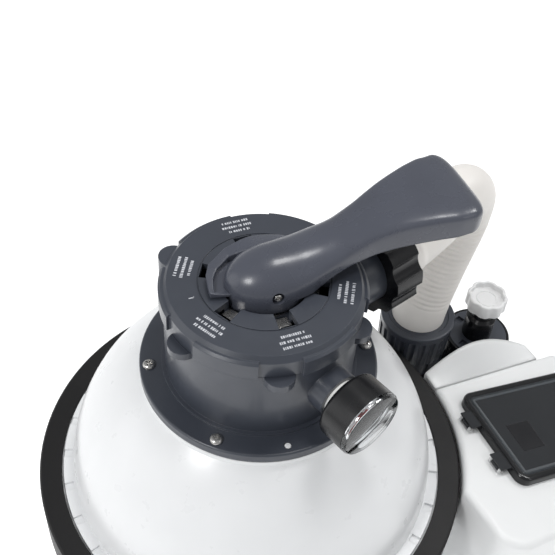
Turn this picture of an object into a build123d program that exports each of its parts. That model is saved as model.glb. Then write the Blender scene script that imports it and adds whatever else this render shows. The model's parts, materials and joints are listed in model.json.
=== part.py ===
from build123d import *
import math
import os

# A 12 inch sand filter tank with its six-way valve and its circulation pump on one base tray.
# Millimetres. Z is up, the origin is on the tank's axis at the floor, +X points from the tank to the pump.
# Angles are in degrees about the tank's axis, measured from +X towards +Y.

BASE = (Align.CENTER, Align.CENTER, Align.MIN)

# ---- heights above the floor ----
FOOT_H = 4.0
TRAY_TOP = 30.0
FLANGE_JOINT_Z = 370.0
BAND_TOP = 388.0
NECK_TOP = 501.5
VALVE_BASE = 503.0
VALVE_FLANGE_TOP = 510.0
COVER_BOTTOM = 573.0
COVER_TOP = 590.0
PORT_Z = 540.0
PLATE_TOP = 540.0

# ---- tank ----
TANK_R = 150.0
TANK_WALL = 4.5
TANK_FLANGE_R = 168.5
BAND_R = 172.5
BAND_LIP_R = 155.0
BAND_GAP_AZ = -121.0
DOME_A = 145.0
DOME_B = 139.0
NECK_R = 87.0
NECK_BORE_R = 69.0

# ---- valve ----
VALVE_FLANGE_R = 87.5
VALVE_WALL_R = 67.5
VALVE_BORE_R = 61.5
STATION_AZ = 23.4
SCREW_AZ = 41.4
SCREW_CIRCLE_R = 80.5
LUG_AZ = 11.4
SPARE_HOLE_AZ = -103.3
PUMP_PORT_AZ = 11.0
RETURN_PORT_AZ = 50.0
WASTE_PORT_AZ = 90.0
PORT_R = 25.0
PORT_BORE_R = 20.0
PUMP_PORT_END = 116.0
SIDE_PORT_END = 98.0
SIDE_THREAD_START = 88.6
WASTE_PORT_END = 84.0
TALL_LUG_AZ = 131.4
SIDE_PORT_Z = 537.0
SIDE_PORT_R = 24.0
COVER_TOP_R = 66.0
COVER_RING_R = 69.6
COVER_LAND_R = 71.8
HUB_HOLE_R = 31.0
STEM_R = 8.0
RUN_GAP = 0.06
WEB_TOP = 578.0
WEB_THICKNESS = 5.0
WASHER_TOP = 579.5

# ---- handle ----
HANDLE_AZ = -6.6
PIN_Z = 596.5
PIN_R = 3.0
HANDLE_FLOOR = 580.0

# ---- gauge ----
GAUGE_AZ = -77.0
GAUGE_Z = 544.0
GAUGE_R = 25.0
GAUGE_BACK = 85.5
GAUGE_FRONT = 107.5
NEEDLE_REST = 225.0

# ---- hose from the pump to the valve ----
HOSE_R = 23.5
HOSE_BORE_R = 20.0
CUFF_R = 24.5
OUTLET_X = 200.5
OUTLET_Y = 54.7
OUTLET_TOP = 400.0
HOSE_RISE_REACH = 152.0
HOSE_RISE_R = 50.0
HOSE_BEND_REACH = 245.0
HOSE_BEND_Z = 562.0
HOSE_BEND_R = 34.0
HOSE_KNEE_Z = 421.0
HOSE_KNEE_R = 30.0

# ---- pump, strainer and motor ----
MOTOR_X = 243.0
MOTOR_Z = 150.0
HOUSING_X0 = 172.0
HOUSING_WRAP_X0 = 132.0
HOUSING_X1 = 334.0
HOUSING_Y0 = -178.0
HOUSING_Y1 = -16.0
COLLAR_Y1 = 1.5
HOUSING_SPLIT = 200.0
HOUSING_WALL = 4.0
HOUSING_GAP = 2.5
DECK_Z = 390.0
DECK_SLOPE = 10.5
DECK_ROUND = 5.0
STRAINER_X = 264.6
STRAINER_Y = 35.2
STRAINER_R = 28.5
BOWL_TOP = 350.0
LID_TOP = 366.5
LID_SLOT_AZ = 19.0
INLET_Z = 300.0
INLET_THREAD_Y = 76.2
VENT_X = 264.2
VENT_Y = 36.0
VENT_R = 14.0
VENT_NECK_R = 10.5
VENT_CAP_Z = 405.0

# ---- timer cover, in the sloping deck's own frame ----
COVER_TWIST = -3.8
COVER_X0 = 13.0
COVER_LENGTH = 128.0
COVER_Y0 = -131.0
COVER_Y1 = -35.0
COVER_WALL = 2.5
COVER_H = 8.0
HINGE_X = 4.2
HINGE_Z = 3.2
HINGE_PIN_R = 1.2


def tube(outer, inner, low, high):
    """Upright ring between two heights."""
    body = Cylinder(outer, high - low, align=BASE) - Cylinder(inner, high - low, align=BASE)
    return Pos(0, 0, low) * body


def disc(radius, low, high):
    """Upright cylinder between two heights."""
    return Pos(0, 0, low) * Cylinder(radius, high - low, align=BASE)


def turned(points):
    """Solid of revolution about the tank's axis from an outline of (radius, height) corners."""
    outline = make_face(Polyline(*[(r, 0, z) for r, z in points], close=True))
    return revolve(outline, Axis.Z)


def radial(azimuth, height):
    """Frame whose own Z runs outwards from the tank's axis at this azimuth and height."""
    return Rot(0, 0, azimuth) * Pos(0, 0, height) * Rot(0, 90, 0)


def along_y(x, z):
    """Frame whose own Z runs along +Y through this point of the XZ plane."""
    return Pos(x, 0, z) * Rot(-90, 0, 0)


def sector(radius, middle, half_width, low, high):
    """Upright wedge of a disc about the tank's axis."""
    slices = max(2, math.ceil(half_width / 15))
    step = 2 * half_width / slices
    reach = radius / math.cos(math.radians(step / 2))
    corners = [(0, 0)]
    for i in range(slices + 1):
        a = math.radians(middle - half_width + i * step)
        corners.append((reach * math.cos(a), reach * math.sin(a)))
    face = make_face(Polyline(*corners, close=True))
    return Pos(0, 0, low) * extrude(face, high - low)


def lobed_nut(radius, lobes, bite, depth):
    """Plain grip nut with round hollows between its lobes, standing on its own XY plane."""
    body = Cylinder(radius, depth, align=BASE)
    hollow_r = radius * 0.30
    for i in range(lobes):
        body -= Rot(0, 0, i * 360 / lobes) * Pos(radius + hollow_r - bite, 0, 0) * Cylinder(hollow_r, depth, align=BASE)
    return fillet(body.edges().filter_by(GeomType.CIRCLE).group_by(Axis.Z)[-1], 1.2)


# ------------------------------------------------------------------ base

def base_tray():
    plan = Circle(166) + Pos(202, -32) * RectangleRounded(284, 300, 34)
    shell = Pos(0, 0, FOOT_H) * extrude(plan, TRAY_TOP - FOOT_H)
    shell = chamfer(shell.edges().group_by(Axis.Z)[-1], 3)
    hollow_plan = Circle(162) + Pos(202, -32) * RectangleRounded(276, 292, 30)
    hollow = Pos(0, 0, FOOT_H) * extrude(hollow_plan, TRAY_TOP - FOOT_H - 5)
    hollow -= Cylinder(14, TRAY_TOP, align=BASE)
    shell -= hollow
    for x, y in fixing_points():
        shell += Pos(x, y, FOOT_H) * Cylinder(9, TRAY_TOP - FOOT_H - 2, align=BASE)
    for x, y in fixing_points():
        shell -= Pos(x, y, 0) * Cylinder(3.5, TRAY_TOP + 5, align=BASE)
    for x, y in foot_points():
        shell += Pos(x, y, FOOT_H) * Cylinder(11, TRAY_TOP - FOOT_H - 2, align=BASE)
    shell += tube(131, 126, TRAY_TOP - 1, TRAY_TOP + 5)
    return shell


def fixing_points():
    return [(x, y) for x in (-118.0, 318.0) for y in (-98.0, 98.0)]


def foot_points():
    ring = [(132 * math.cos(math.radians(a)), 132 * math.sin(math.radians(a))) for a in (90, 180, 270)]
    pump_side = [(326.0, -162.0), (326.0, 66.0), (176.0, -140.0)]
    return [(0.0, 0.0)] + ring + pump_side


def base_feet():
    pads = []
    for x, y in foot_points():
        pad = Pos(x, y, 0) * Cylinder(11, FOOT_H, align=BASE)
        pads.append(chamfer(pad.edges().group_by(Axis.Z)[0], 0.8))
    return Compound(children=pads)


# ------------------------------------------------------------------ tank

def quarter_arc(start_r, low, radius):
    """Rounding from a flat floor at this height up to a wall, in the plane of an outline."""
    along = radius * math.sin(math.radians(45))
    up = radius - radius * math.cos(math.radians(45))
    return ThreePointArc((start_r, 0, low), (start_r + along, 0, low + up), (start_r + radius, 0, low + radius))


def tank_body():
    joint = FLANGE_JOINT_Z
    foot_r = 104.0
    round_r = TANK_R - foot_r
    inner = TANK_R - TANK_WALL
    flange_low = joint - 14.5
    outer_line = Line((0, 0, TRAY_TOP), (foot_r, 0, TRAY_TOP))
    corner = quarter_arc(foot_r, TRAY_TOP, round_r)
    rest = Polyline((TANK_R, 0, TRAY_TOP + round_r), (TANK_R, 0, flange_low), (TANK_FLANGE_R, 0, flange_low),
                    (TANK_FLANGE_R, 0, joint), (inner, 0, joint), (inner, 0, TRAY_TOP + round_r + 2))
    inner_r = round_r - TANK_WALL + 2
    inner_corner = quarter_arc(inner - inner_r, TRAY_TOP + TANK_WALL, inner_r)
    floor = Polyline((inner - inner_r, 0, TRAY_TOP + TANK_WALL), (0, 0, TRAY_TOP + TANK_WALL), (0, 0, TRAY_TOP))
    body = revolve(make_face([outer_line, corner, rest, inner_corner, floor]), Axis.Z)
    body -= tube(162, 157.4, joint - 3, joint)
    boss = radial(-90, 84) * Pos(0, 0, inner + 1) * Cylinder(19, 19, align=BASE)
    body += boss
    body -= radial(-90, 84) * Pos(0, 0, inner - 6) * Cylinder(12.4, 32, align=BASE)
    return body


def drain_plug():
    shank = Pos(0, 0, 148) * Cylinder(12, 20, align=BASE)
    head = Pos(0, 0, 168) * lobed_nut(19, 8, 2.4, 12)
    return radial(-90, 84) * (shank + head)


def dome_shell(a, b, low):
    """Half ellipsoid of revolution from the height low upwards."""
    start = (a, low)
    profile = [start]
    steps = 14
    for i in range(1, steps + 1):
        t = math.radians(90 * i / steps)
        profile.append((a * math.cos(t), low + b * math.sin(t)))
    curve = Spline(*[(r, 0, z) for r, z in profile], tangents=[(0, 0, 1), (-1, 0, 0)])
    sides = Polyline((0, 0, low + b), (0, 0, low), (a, 0, low))
    return revolve(make_face([curve, sides]), Axis.Z)


def tank_dome():
    joint = FLANGE_JOINT_Z
    foot = BAND_TOP - 2
    outer = dome_shell(DOME_A, DOME_B, foot)
    outer += tube(DOME_A, 10, joint, foot)
    outer += tube(TANK_FLANGE_R, DOME_A - 3, joint, BAND_TOP - 3.5)
    outer += dome_ledge()
    outer += disc(NECK_R, NECK_TOP - 14, NECK_TOP)
    inner = dome_shell(DOME_A - 4.5, DOME_B - 4.5, foot) + disc(DOME_A - 4.5, joint, foot)
    top_trim = disc(DOME_A, NECK_TOP, NECK_TOP + 40)
    body = outer - inner - top_trim - disc(NECK_BORE_R, joint, NECK_TOP)
    for i in range(6):
        body += Rot(0, 0, SCREW_AZ + 60 * i) * Pos(SCREW_CIRCLE_R, 0, NECK_TOP - 20) * Cylinder(5, 20, align=BASE)
    for i in range(6):
        body -= Rot(0, 0, SCREW_AZ + 60 * i) * Pos(SCREW_CIRCLE_R, 0, NECK_TOP - 16) * Cylinder(2.5, 17, align=BASE)
    return body


def dome_ledge():
    """Low white rim inside the clamp band, broken by thirty shallow notches."""
    ledge = tube(153.5, DOME_A - 3, BAND_TOP - 5, BAND_TOP + 0.5)
    notch = Pos(150.5, 0, BAND_TOP - 1.5) * Box(8, 7, 4, align=BASE)
    for i in range(30):
        ledge -= Rot(0, 0, 12 * i) * notch
    return ledge


def dome_seal():
    return tube(161.6, 157.8, FLANGE_JOINT_Z - 3, FLANGE_JOINT_Z)


def clamp_band():
    low = FLANGE_JOINT_Z - 18
    wall = tube(BAND_R, TANK_FLANGE_R, low, BAND_TOP)
    lips = tube(BAND_R, BAND_LIP_R, BAND_TOP - 3.5, BAND_TOP) + tube(BAND_R, BAND_LIP_R, low, low + 3.5)
    band = wall + lips
    band = chamfer(band.edges().group_by(Axis.Z)[-1].sort_by(SortBy.RADIUS)[-1], 1.5)
    ear = Box(28, 8, 24, align=(Align.MIN, Align.CENTER, Align.CENTER))
    for side in (-1, 1):
        band += Rot(0, 0, BAND_GAP_AZ) * Pos(TANK_FLANGE_R + 0.5, side * 9, FLANGE_JOINT_Z) * ear
    band -= Rot(0, 0, BAND_GAP_AZ) * Pos(165, 0, FLANGE_JOINT_Z) * Box(80, 10, 60)
    bolt_hole = Rot(90, 0, 0) * Cylinder(4.3, 60)
    return band - Rot(0, 0, BAND_GAP_AZ) * Pos(186, 0, FLANGE_JOINT_Z) * bolt_hole


def clamp_frame():
    """Frame on the clamp bolt's axis, its own Z running along the bolt from ear to ear."""
    return Rot(0, 0, BAND_GAP_AZ) * Pos(186, 0, FLANGE_JOINT_Z) * Rot(-90, 0, 0)


def clamp_bolt():
    shank = Pos(0, 0, -13) * Cylinder(4, 42, align=BASE)
    head = Pos(0, 0, -18.5) * extrude(RegularPolygon(7.5, 6), 5.5)
    return clamp_frame() * (head + shank)


def clamp_knob():
    knob = Pos(0, 0, 13.3) * (lobed_nut(13, 6, 2.6, 13) - Cylinder(4 + RUN_GAP, 30))
    return clamp_frame() * knob


# ------------------------------------------------------------------ inside the tank

def center_pipe():
    return tube(24, 21, 79.5, 536)


def lateral_hub():
    hub = disc(34, 48, 78) + disc(12, TRAY_TOP + TANK_WALL, 49)
    hub += tube(28, 24.0, 77, 92)
    hub -= disc(24.0, 79, 93)
    hub -= disc(20, 56, 80)
    for i in range(8):
        hub -= radial(22.5 + 45 * i, 63) * Pos(0, 0, 26) * Cylinder(8, 20, align=BASE)
    return hub


def laterals():
    arms = []
    for i in range(8):
        arm = Pos(0, 0, 28) * (Cylinder(7.9, 88, align=BASE) - Cylinder(5.5, 84, align=BASE))
        for k in range(7):
            arm -= Pos(6, 0, 48 + 9 * k) * Box(12, 20, 1)
        arms.append(radial(22.5 + 45 * i, 63) * arm)
    return Compound(children=arms)


def top_diffuser():
    plate = tube(60, 24.1, 474, 478) + tube(60, 57, 466, 478) + tube(28, 24.1, 462, 478)
    for i in range(16):
        plate -= Rot(0, 0, 22.5 * i) * Pos(44, 0, 470) * Box(16, 4, 12)
    return plate


# ------------------------------------------------------------------ valve body

def valve_gasket():
    ring = tube(86.2, 71, NECK_TOP, VALVE_BASE)
    for i in range(6):
        ring -= Rot(0, 0, SCREW_AZ + 60 * i) * Pos(SCREW_CIRCLE_R, 0, NECK_TOP) * Cylinder(3.1, 2, align=BASE)
    return ring


def port_frame(azimuth):
    """Frame of a side port, the pump's port sitting a little higher than the other two."""
    return radial(azimuth, PORT_Z if azimuth == PUMP_PORT_AZ else SIDE_PORT_Z)


def port_outer(azimuth):
    if azimuth == PUMP_PORT_AZ:
        barrel = Pos(0, 0, 58) * Cylinder(PORT_R, PUMP_PORT_END - 58, align=BASE)
        barrel += Pos(0, 0, 62) * Cylinder(PORT_R + 3, 14, align=BASE)
    elif azimuth == WASTE_PORT_AZ:
        barrel = Pos(0, 0, 58) * Cylinder(SIDE_PORT_R - 1.5, WASTE_PORT_END - 58, align=BASE)
    else:
        barrel = Pos(0, 0, 58) * Cylinder(SIDE_PORT_R - 1.5, SIDE_PORT_END - 58, align=BASE)
        thread = Cylinder(SIDE_PORT_R, SIDE_PORT_END - SIDE_THREAD_START, align=BASE)
        barrel += Pos(0, 0, SIDE_THREAD_START) * thread
    return port_frame(azimuth) * barrel


def valve_body():
    flange = disc(VALVE_FLANGE_R, VALVE_BASE, VALVE_FLANGE_TOP)
    flange = fillet(flange.edges().group_by(Axis.Z)[-1], 1.6)
    step = disc(71.5, VALVE_BASE, VALVE_FLANGE_TOP + 1.6)
    wall = disc(VALVE_WALL_R + 1.2, VALVE_BASE, COVER_BOTTOM - 1.4)
    spigot = disc(NECK_BORE_R - 0.6, NECK_TOP - 20, VALVE_BASE)
    body = flange + step + wall + spigot
    for i in range(6):
        lug = Rot(0, 0, LUG_AZ + 60 * i) * Pos(67.5, 0, 563.5) * Cylinder(10.5, 9.2, align=BASE)
        body += chamfer(lug.edges().group_by(Axis.Z)[0], 3.5)
    for azimuth in (PUMP_PORT_AZ, RETURN_PORT_AZ, WASTE_PORT_AZ):
        body += port_outer(azimuth)
    body += radial(GAUGE_AZ, GAUGE_Z) * Pos(0, 0, 58) * Cylinder(16.5, 22, align=BASE)
    body -= disc(VALVE_BORE_R, PLATE_TOP, COVER_BOTTOM)
    body -= disc(VALVE_BORE_R, NECK_TOP - 21, PLATE_TOP - 4)
    for azimuth in (PUMP_PORT_AZ, RETURN_PORT_AZ, WASTE_PORT_AZ):
        body -= port_frame(azimuth) * Pos(0, 0, 50) * Cylinder(PORT_BORE_R, 80, align=BASE)
    body += tube(VALVE_BORE_R + 1, 24.1, PLATE_TOP - 4, PLATE_TOP) + tube(28, 24.1, 520, PLATE_TOP - 3)
    body -= disc(24.1, 519, PLATE_TOP + 1)
    for i in range(6):
        port = Rot(0, 0, 60 * i) * Pos(43, 0, 530) * Cylinder(12, 12, align=BASE)
        body -= port
    body -= radial(GAUGE_AZ, GAUGE_Z) * Pos(0, 0, 40) * Cylinder(5.1, 50, align=BASE)
    body -= tube(66.4, 63.8, COVER_BOTTOM - 3.6, COVER_BOTTOM)
    for i in range(6):
        body -= Rot(0, 0, SCREW_AZ + 60 * i) * Pos(SCREW_CIRCLE_R, 0, VALVE_BASE - 1) * Cylinder(3.1, 12, align=BASE)
    body -= Rot(0, 0, SPARE_HOLE_AZ) * Pos(SCREW_CIRCLE_R, 0, VALVE_BASE - 1) * Cylinder(2.7, 12, align=BASE)
    return body


def flange_screws():
    screws = []
    for i in range(6):
        shank = Pos(0, 0, NECK_TOP - 14) * Cylinder(2.4, VALVE_FLANGE_TOP - NECK_TOP + 15, align=BASE)
        head = Pos(0, 0, VALVE_FLANGE_TOP) * Cylinder(4.6, 3.1, align=BASE)
        head = fillet(head.edges().group_by(Axis.Z)[-1], 1.8)
        screws.append(Rot(0, 0, SCREW_AZ + 60 * i) * Pos(SCREW_CIRCLE_R, 0, 0) * (shank + head))
    return Compound(children=screws)


def spider_gasket():
    gasket = tube(58, 25, 540, 541.5)
    for i in range(6):
        gasket -= Rot(0, 0, 60 * i) * Pos(43, 0, 539) * Cylinder(12.6, 4, align=BASE)
    return gasket


# ------------------------------------------------------------------ valve cover and rotor

def valve_cover():
    ring = turned([(HUB_HOLE_R, 585), (HUB_HOLE_R, COVER_TOP), (COVER_TOP_R, COVER_TOP), (COVER_RING_R, 586),
                   (COVER_RING_R, COVER_BOTTOM), (61.3, COVER_BOTTOM), (61.3, 585)])
    for i in range(6):
        land = tube(COVER_LAND_R, 67, COVER_BOTTOM, 587.4)
        land = chamfer(land.edges().group_by(Axis.Z)[-1].sort_by(SortBy.RADIUS)[-1], 1.8)
        ring += land & sector(80, SCREW_AZ + 60 * i, 18.3, COVER_BOTTOM - 1, COVER_TOP)
    tall_lug = Rot(0, 0, TALL_LUG_AZ) * Pos(67.5, 0, COVER_BOTTOM) * Cylinder(10.5, 12.5, align=BASE)
    ring += tall_lug - disc(COVER_RING_R - 2, COVER_BOTTOM - 1, COVER_TOP)
    hub_wall = tube(35, HUB_HOLE_R, WEB_TOP - WEB_THICKNESS, COVER_TOP - 1)
    web = tube(35, STEM_R + RUN_GAP, WEB_TOP - WEB_THICKNESS, WEB_TOP)
    cover = ring + hub_wall + web
    for i in range(6):
        notch = Rot(0, 0, STATION_AZ + 60 * i) * Pos(HUB_HOLE_R - 2, 0, 582) * notch_block()
        cover -= notch
    cover -= tube(45.6, 44.7, COVER_TOP - 0.7, COVER_TOP)
    return cover


def notch_block():
    """Tapered pocket that locks the pointer at a station."""
    plan = make_face(Polyline((0, -5.5), (15, -6.8), (15, 6.8), (0, 5.5), close=True))
    return extrude(plan, 12)


def cover_oring():
    return tube(66.3, 63.9, COVER_BOTTOM - 3.6, COVER_BOTTOM)


def rotor():
    plate = disc(58, 541.8, 547)
    plate += disc(20, 547, 553)
    plate -= sector(54, 60, 22, 541, 548) - disc(26, 541, 549)
    for i in range(6):
        rib = Rot(0, 0, 30 + 60 * i) * Pos(18, 0, 547) * Box(38, 3, 4, align=(Align.MIN, Align.CENTER, Align.MIN))
        plate += rib
    return plate - disc(STEM_R, 541, 554)


def pin_frame():
    """Frame on the handle's pin, its own Z running across the handle."""
    return Rot(0, 0, HANDLE_AZ) * Pos(0, 0, PIN_Z) * Rot(90, 0, 0)


def rotor_stem():
    stem = disc(STEM_R, 541.8, 603)
    stem = fillet(stem.edges().group_by(Axis.Z)[-1], 2)
    bore = pin_frame() * Cylinder(PIN_R, 40)
    return stem - bore


def rotor_spring():
    low = 553.2
    high = WEB_TOP - WEB_THICKNESS
    wire_r = 1.4
    turns = 4
    height = high - low - 2 * wire_r
    path = Pos(0, 0, low + wire_r) * Helix(height / turns, height, 13)
    start = path @ 0
    section = Plane(origin=start, z_dir=path % 0) * Circle(wire_r)
    return sweep(section, path=path)


def thrust_washer():
    return tube(24, STEM_R + RUN_GAP, WEB_TOP, WASHER_TOP)


# ------------------------------------------------------------------ handle

# Stations along the handle: distance from the axis, half width, top and underside heights above the ring.
HANDLE_STATIONS = [
    (-32.0, 8.0, 5.0, -9.0),
    (-26.0, 18.0, 13.0, -9.6),
    (-10.0, 26.0, 22.5, -9.8),
    (6.0, 27.5, 25.0, -9.8),
    (24.0, 24.0, 26.0, -4.0),
    (44.0, 19.5, 29.5, 8.0),
    (66.0, 18.5, 37.0, 15.0),
    (90.0, 22.5, 44.5, 22.0),
    (114.0, 29.0, 49.5, 27.0),
    (131.0, 31.5, 50.0, 28.0),
    (141.5, 28.0, 47.0, 28.0),
    (148.0, 19.0, 42.0, 27.5),
]


def handle_section(station):
    """Crowned outline of the handle across its length."""
    s, half, top, low = station
    height = top - low
    shoulder = low + 0.62 * height
    outline = [(-half, low), (-half, shoulder), (-0.62 * half, top - 0.10 * height), (0, top),
               (0.62 * half, top - 0.10 * height), (half, shoulder), (half, low)]
    crown = Spline(*outline[1:-1], tangents=[(0, 1), (0, -1)])
    sides = Polyline(outline[5], outline[6], outline[0], outline[1])
    face = make_face([crown, sides])
    return Plane(origin=(s, 0, 0), x_dir=(0, 1, 0), z_dir=(1, 0, 0)) * face


def handle_blank(inset):
    sections = []
    for s, half, top, low in HANDLE_STATIONS:
        sections.append(handle_section((s, half - inset, top - inset, low)))
    return loft(sections)


def pointer_collar():
    """Raised rim round the handle's boss, with the flat that faces the chosen station."""
    outer = [(6, 26), (-20, 32), (-39, 12.5), (-44, -3), (-30, -8), (0, 0)]
    inner = [(4, 20), (-18.5, 27.6), (-34.6, 10.2), (-39.2, -2), (-28, -4.5), (0, 0)]
    wall = extrude(make_face(Polyline(*outer, close=True)), 5.5)
    pocket = extrude(make_face(Polyline(*inner, close=True)), 5.5)
    return Pos(0, 0, 1.6) * (wall - Pos(0, 0, 1.5) * pocket)


def handle_relief():
    """Space kept clear of the handle: over the ring outside the hub, and over the washer inside it."""
    low = HANDLE_FLOOR - COVER_TOP
    return Pos(0, 0, low - 20) * Cylinder(170, 21.5 - low, align=BASE) - Pos(0, 0, low) * Cylinder(28, 40, align=BASE)


def handle():
    body = handle_blank(0) + pointer_collar()
    cavity_plan = Pos(90, 0) * Rectangle(100, 70)
    lower_half = Pos(0, 0, -12) * extrude(cavity_plan, 70)
    inner = []
    for s, half, top, low in HANDLE_STATIONS[5:11]:
        inner.append(handle_section((s, half - 3.2, top - 3.2, low - 2)))
    body -= loft(inner) & lower_half
    body -= Pos(0, 0, -12) * Cylinder(STEM_R + 1.2, 28, align=BASE)
    body -= Pos(0, 0, -12) * Box(26, 2 * STEM_R + 1.6, 28, align=BASE)
    pin_z = PIN_Z - COVER_TOP
    body -= Pos(0, 0, pin_z) * Rot(90, 0, 0) * Cylinder(PIN_R + RUN_GAP, 80)
    for side in (-1, 1):
        body -= Pos(0, side * 26.2, pin_z) * Rot(90, 0, 0) * Cylinder(5.4, 7)
    return Rot(0, 0, HANDLE_AZ) * Pos(0, 0, COVER_TOP) * (body - handle_relief())


def handle_pin():
    shank = Cylinder(PIN_R, 46)
    head = Pos(0, 0, 23) * Cylinder(4.8, 2.4, align=BASE)
    head = fillet(head.edges().group_by(Axis.Z)[-1], 1.2)
    return pin_frame() * (shank + head)


# ------------------------------------------------------------------ unions, caps and hose

def port_union_nut():
    nut = lobed_nut(37, 9, 3.4, 27)
    nut -= Cylinder(PORT_R + 0.4, 19, align=BASE)
    nut -= Cylinder(CUFF_R + 0.4, 60)
    return port_frame(PUMP_PORT_AZ) * Pos(0, 0, 100) * nut


def port_oring():
    ring = Pos(0, 0, PUMP_PORT_END) * (Cylinder(24, 2.5, align=BASE) - Cylinder(20, 2.5, align=BASE))
    return port_frame(PUMP_PORT_AZ) * ring


def waste_plug():
    """Screw-in plug that closes the waste port."""
    shank = Pos(0, 0, WASTE_PORT_END - 16) * Cylinder(PORT_BORE_R, 16, align=BASE)
    head = Pos(0, 0, WASTE_PORT_END) * Cylinder(SIDE_PORT_R - 1.5, 3, align=BASE)
    socket = Pos(0, 0, WASTE_PORT_END - 6) * extrude(RegularPolygon(9, 6), 12)
    return port_frame(WASTE_PORT_AZ) * (shank + head - socket)


def hose_route():
    """Corners of the hose's centre line: out of the valve, rising to the bend, then down to the pump."""
    port_az = math.radians(PUMP_PORT_AZ)
    outlet_az = math.atan2(OUTLET_Y, OUTLET_X)
    start = reach_point(PUMP_PORT_END + 2.5, port_az, PORT_Z)
    rise = reach_point(HOSE_RISE_REACH, port_az, PORT_Z)
    bend = reach_point(HOSE_BEND_REACH, port_az + (outlet_az - port_az) * 0.7, HOSE_BEND_Z)
    knee = (OUTLET_X - 1, OUTLET_Y, HOSE_KNEE_Z)
    return start, rise, bend, knee, (OUTLET_X, OUTLET_Y, OUTLET_TOP)


def reach_point(reach, angle, height):
    return (reach * math.cos(angle), reach * math.sin(angle), height)


def interconnect_hose():
    route = hose_route()
    line = FilletPolyline(*route, radius=[HOSE_RISE_R, HOSE_BEND_R, HOSE_KNEE_R])
    first = Plane(origin=route[0], z_dir=line % 0)
    outer = sweep(first * Circle(HOSE_R), path=line)
    inner = sweep(first * Circle(HOSE_BORE_R), path=line)
    low_cuff = Pos(OUTLET_X, OUTLET_Y, OUTLET_TOP) * Cylinder(CUFF_R, 16, align=BASE)
    high_cuff = first * Cylinder(CUFF_R, 20, align=BASE)
    body = outer + low_cuff + high_cuff
    body += Pos(OUTLET_X, OUTLET_Y, OUTLET_TOP) * Cylinder(27.5, 5, align=BASE)
    body -= inner
    print("hose bend radii", HOSE_RISE_R, HOSE_BEND_R, HOSE_KNEE_R, "length", round(line.length, 1))
    return body - Pos(OUTLET_X, OUTLET_Y, OUTLET_TOP - 20) * Cylinder(60, 20, align=BASE)


def ribbed_nut(radius, top_radius, ribs, height):
    """Knurled grip nut with upright ribs, standing on its own XY plane."""
    outline = make_face(Polyline((0, 0, 0), (radius, 0, 0), (top_radius, 0, height), (0, 0, height), close=True))
    body = revolve(outline, Axis.Z)
    body = fillet(body.edges().group_by(Axis.Z)[-1], 1.5)
    for i in range(ribs):
        body -= Rot(0, 0, i * 360 / ribs) * Pos(radius + 1.6, 0, 0) * Rot(0, 2.2, 0) * Cylinder(3.2, 64)
    return body


def outlet_union_nut():
    nut = ribbed_nut(32.6, 34.6, 22, 39)
    nut -= Pos(0, 0, -1) * Cylinder(22.3, 33, align=BASE)
    nut -= Pos(0, 0, 30) * Cylinder(28.4, 12, align=BASE)
    return Pos(OUTLET_X, OUTLET_Y, 366.5) * nut


# ------------------------------------------------------------------ gauge

def gauge_frame():
    return radial(GAUGE_AZ, GAUGE_Z)


def gauge_disc(radius, start, depth):
    return Pos(0, 0, start) * Cylinder(radius, depth, align=BASE)


def gauge_washer():
    return gauge_frame() * (gauge_disc(13.5, 80, 5.5) - gauge_disc(5.1, 79, 8))


def gauge_stem():
    return gauge_frame() * gauge_disc(5, 62, 27)


def gauge_case():
    shell = gauge_disc(GAUGE_R, GAUGE_BACK, GAUGE_FRONT - GAUGE_BACK)
    shell = fillet(shell.edges().sort_by(Axis.Z)[0], 3.5)
    shell -= gauge_disc(GAUGE_R - 2, GAUGE_FRONT - 9, 12)
    return gauge_frame() * (shell - gauge_disc(5, 70, 19))


def gauge_dial():
    return gauge_frame() * gauge_disc(GAUGE_R - 2, GAUGE_FRONT - 9, 1.2)


def gauge_needle():
    hub = Cylinder(2.6, 2.4, align=BASE)
    blade = make_face(Polyline((-1.1, -6), (1.1, -6), (0.35, 17), (-0.35, 17), close=True))
    pointer = Pos(0, 0, 1.0) * extrude(blade, 0.8)
    return gauge_frame() * Pos(0, 0, GAUGE_FRONT - 7.5) * Rot(0, 0, NEEDLE_REST) * (hub + pointer)


def gauge_lens():
    rim = gauge_disc(GAUGE_R, GAUGE_FRONT, 4.2)
    rim = fillet(rim.edges().sort_by(Axis.Z)[-1], 2.4)
    return gauge_frame() * (rim - gauge_disc(GAUGE_R - 3, GAUGE_FRONT, 2.2))


# ------------------------------------------------------------------ pump

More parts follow.
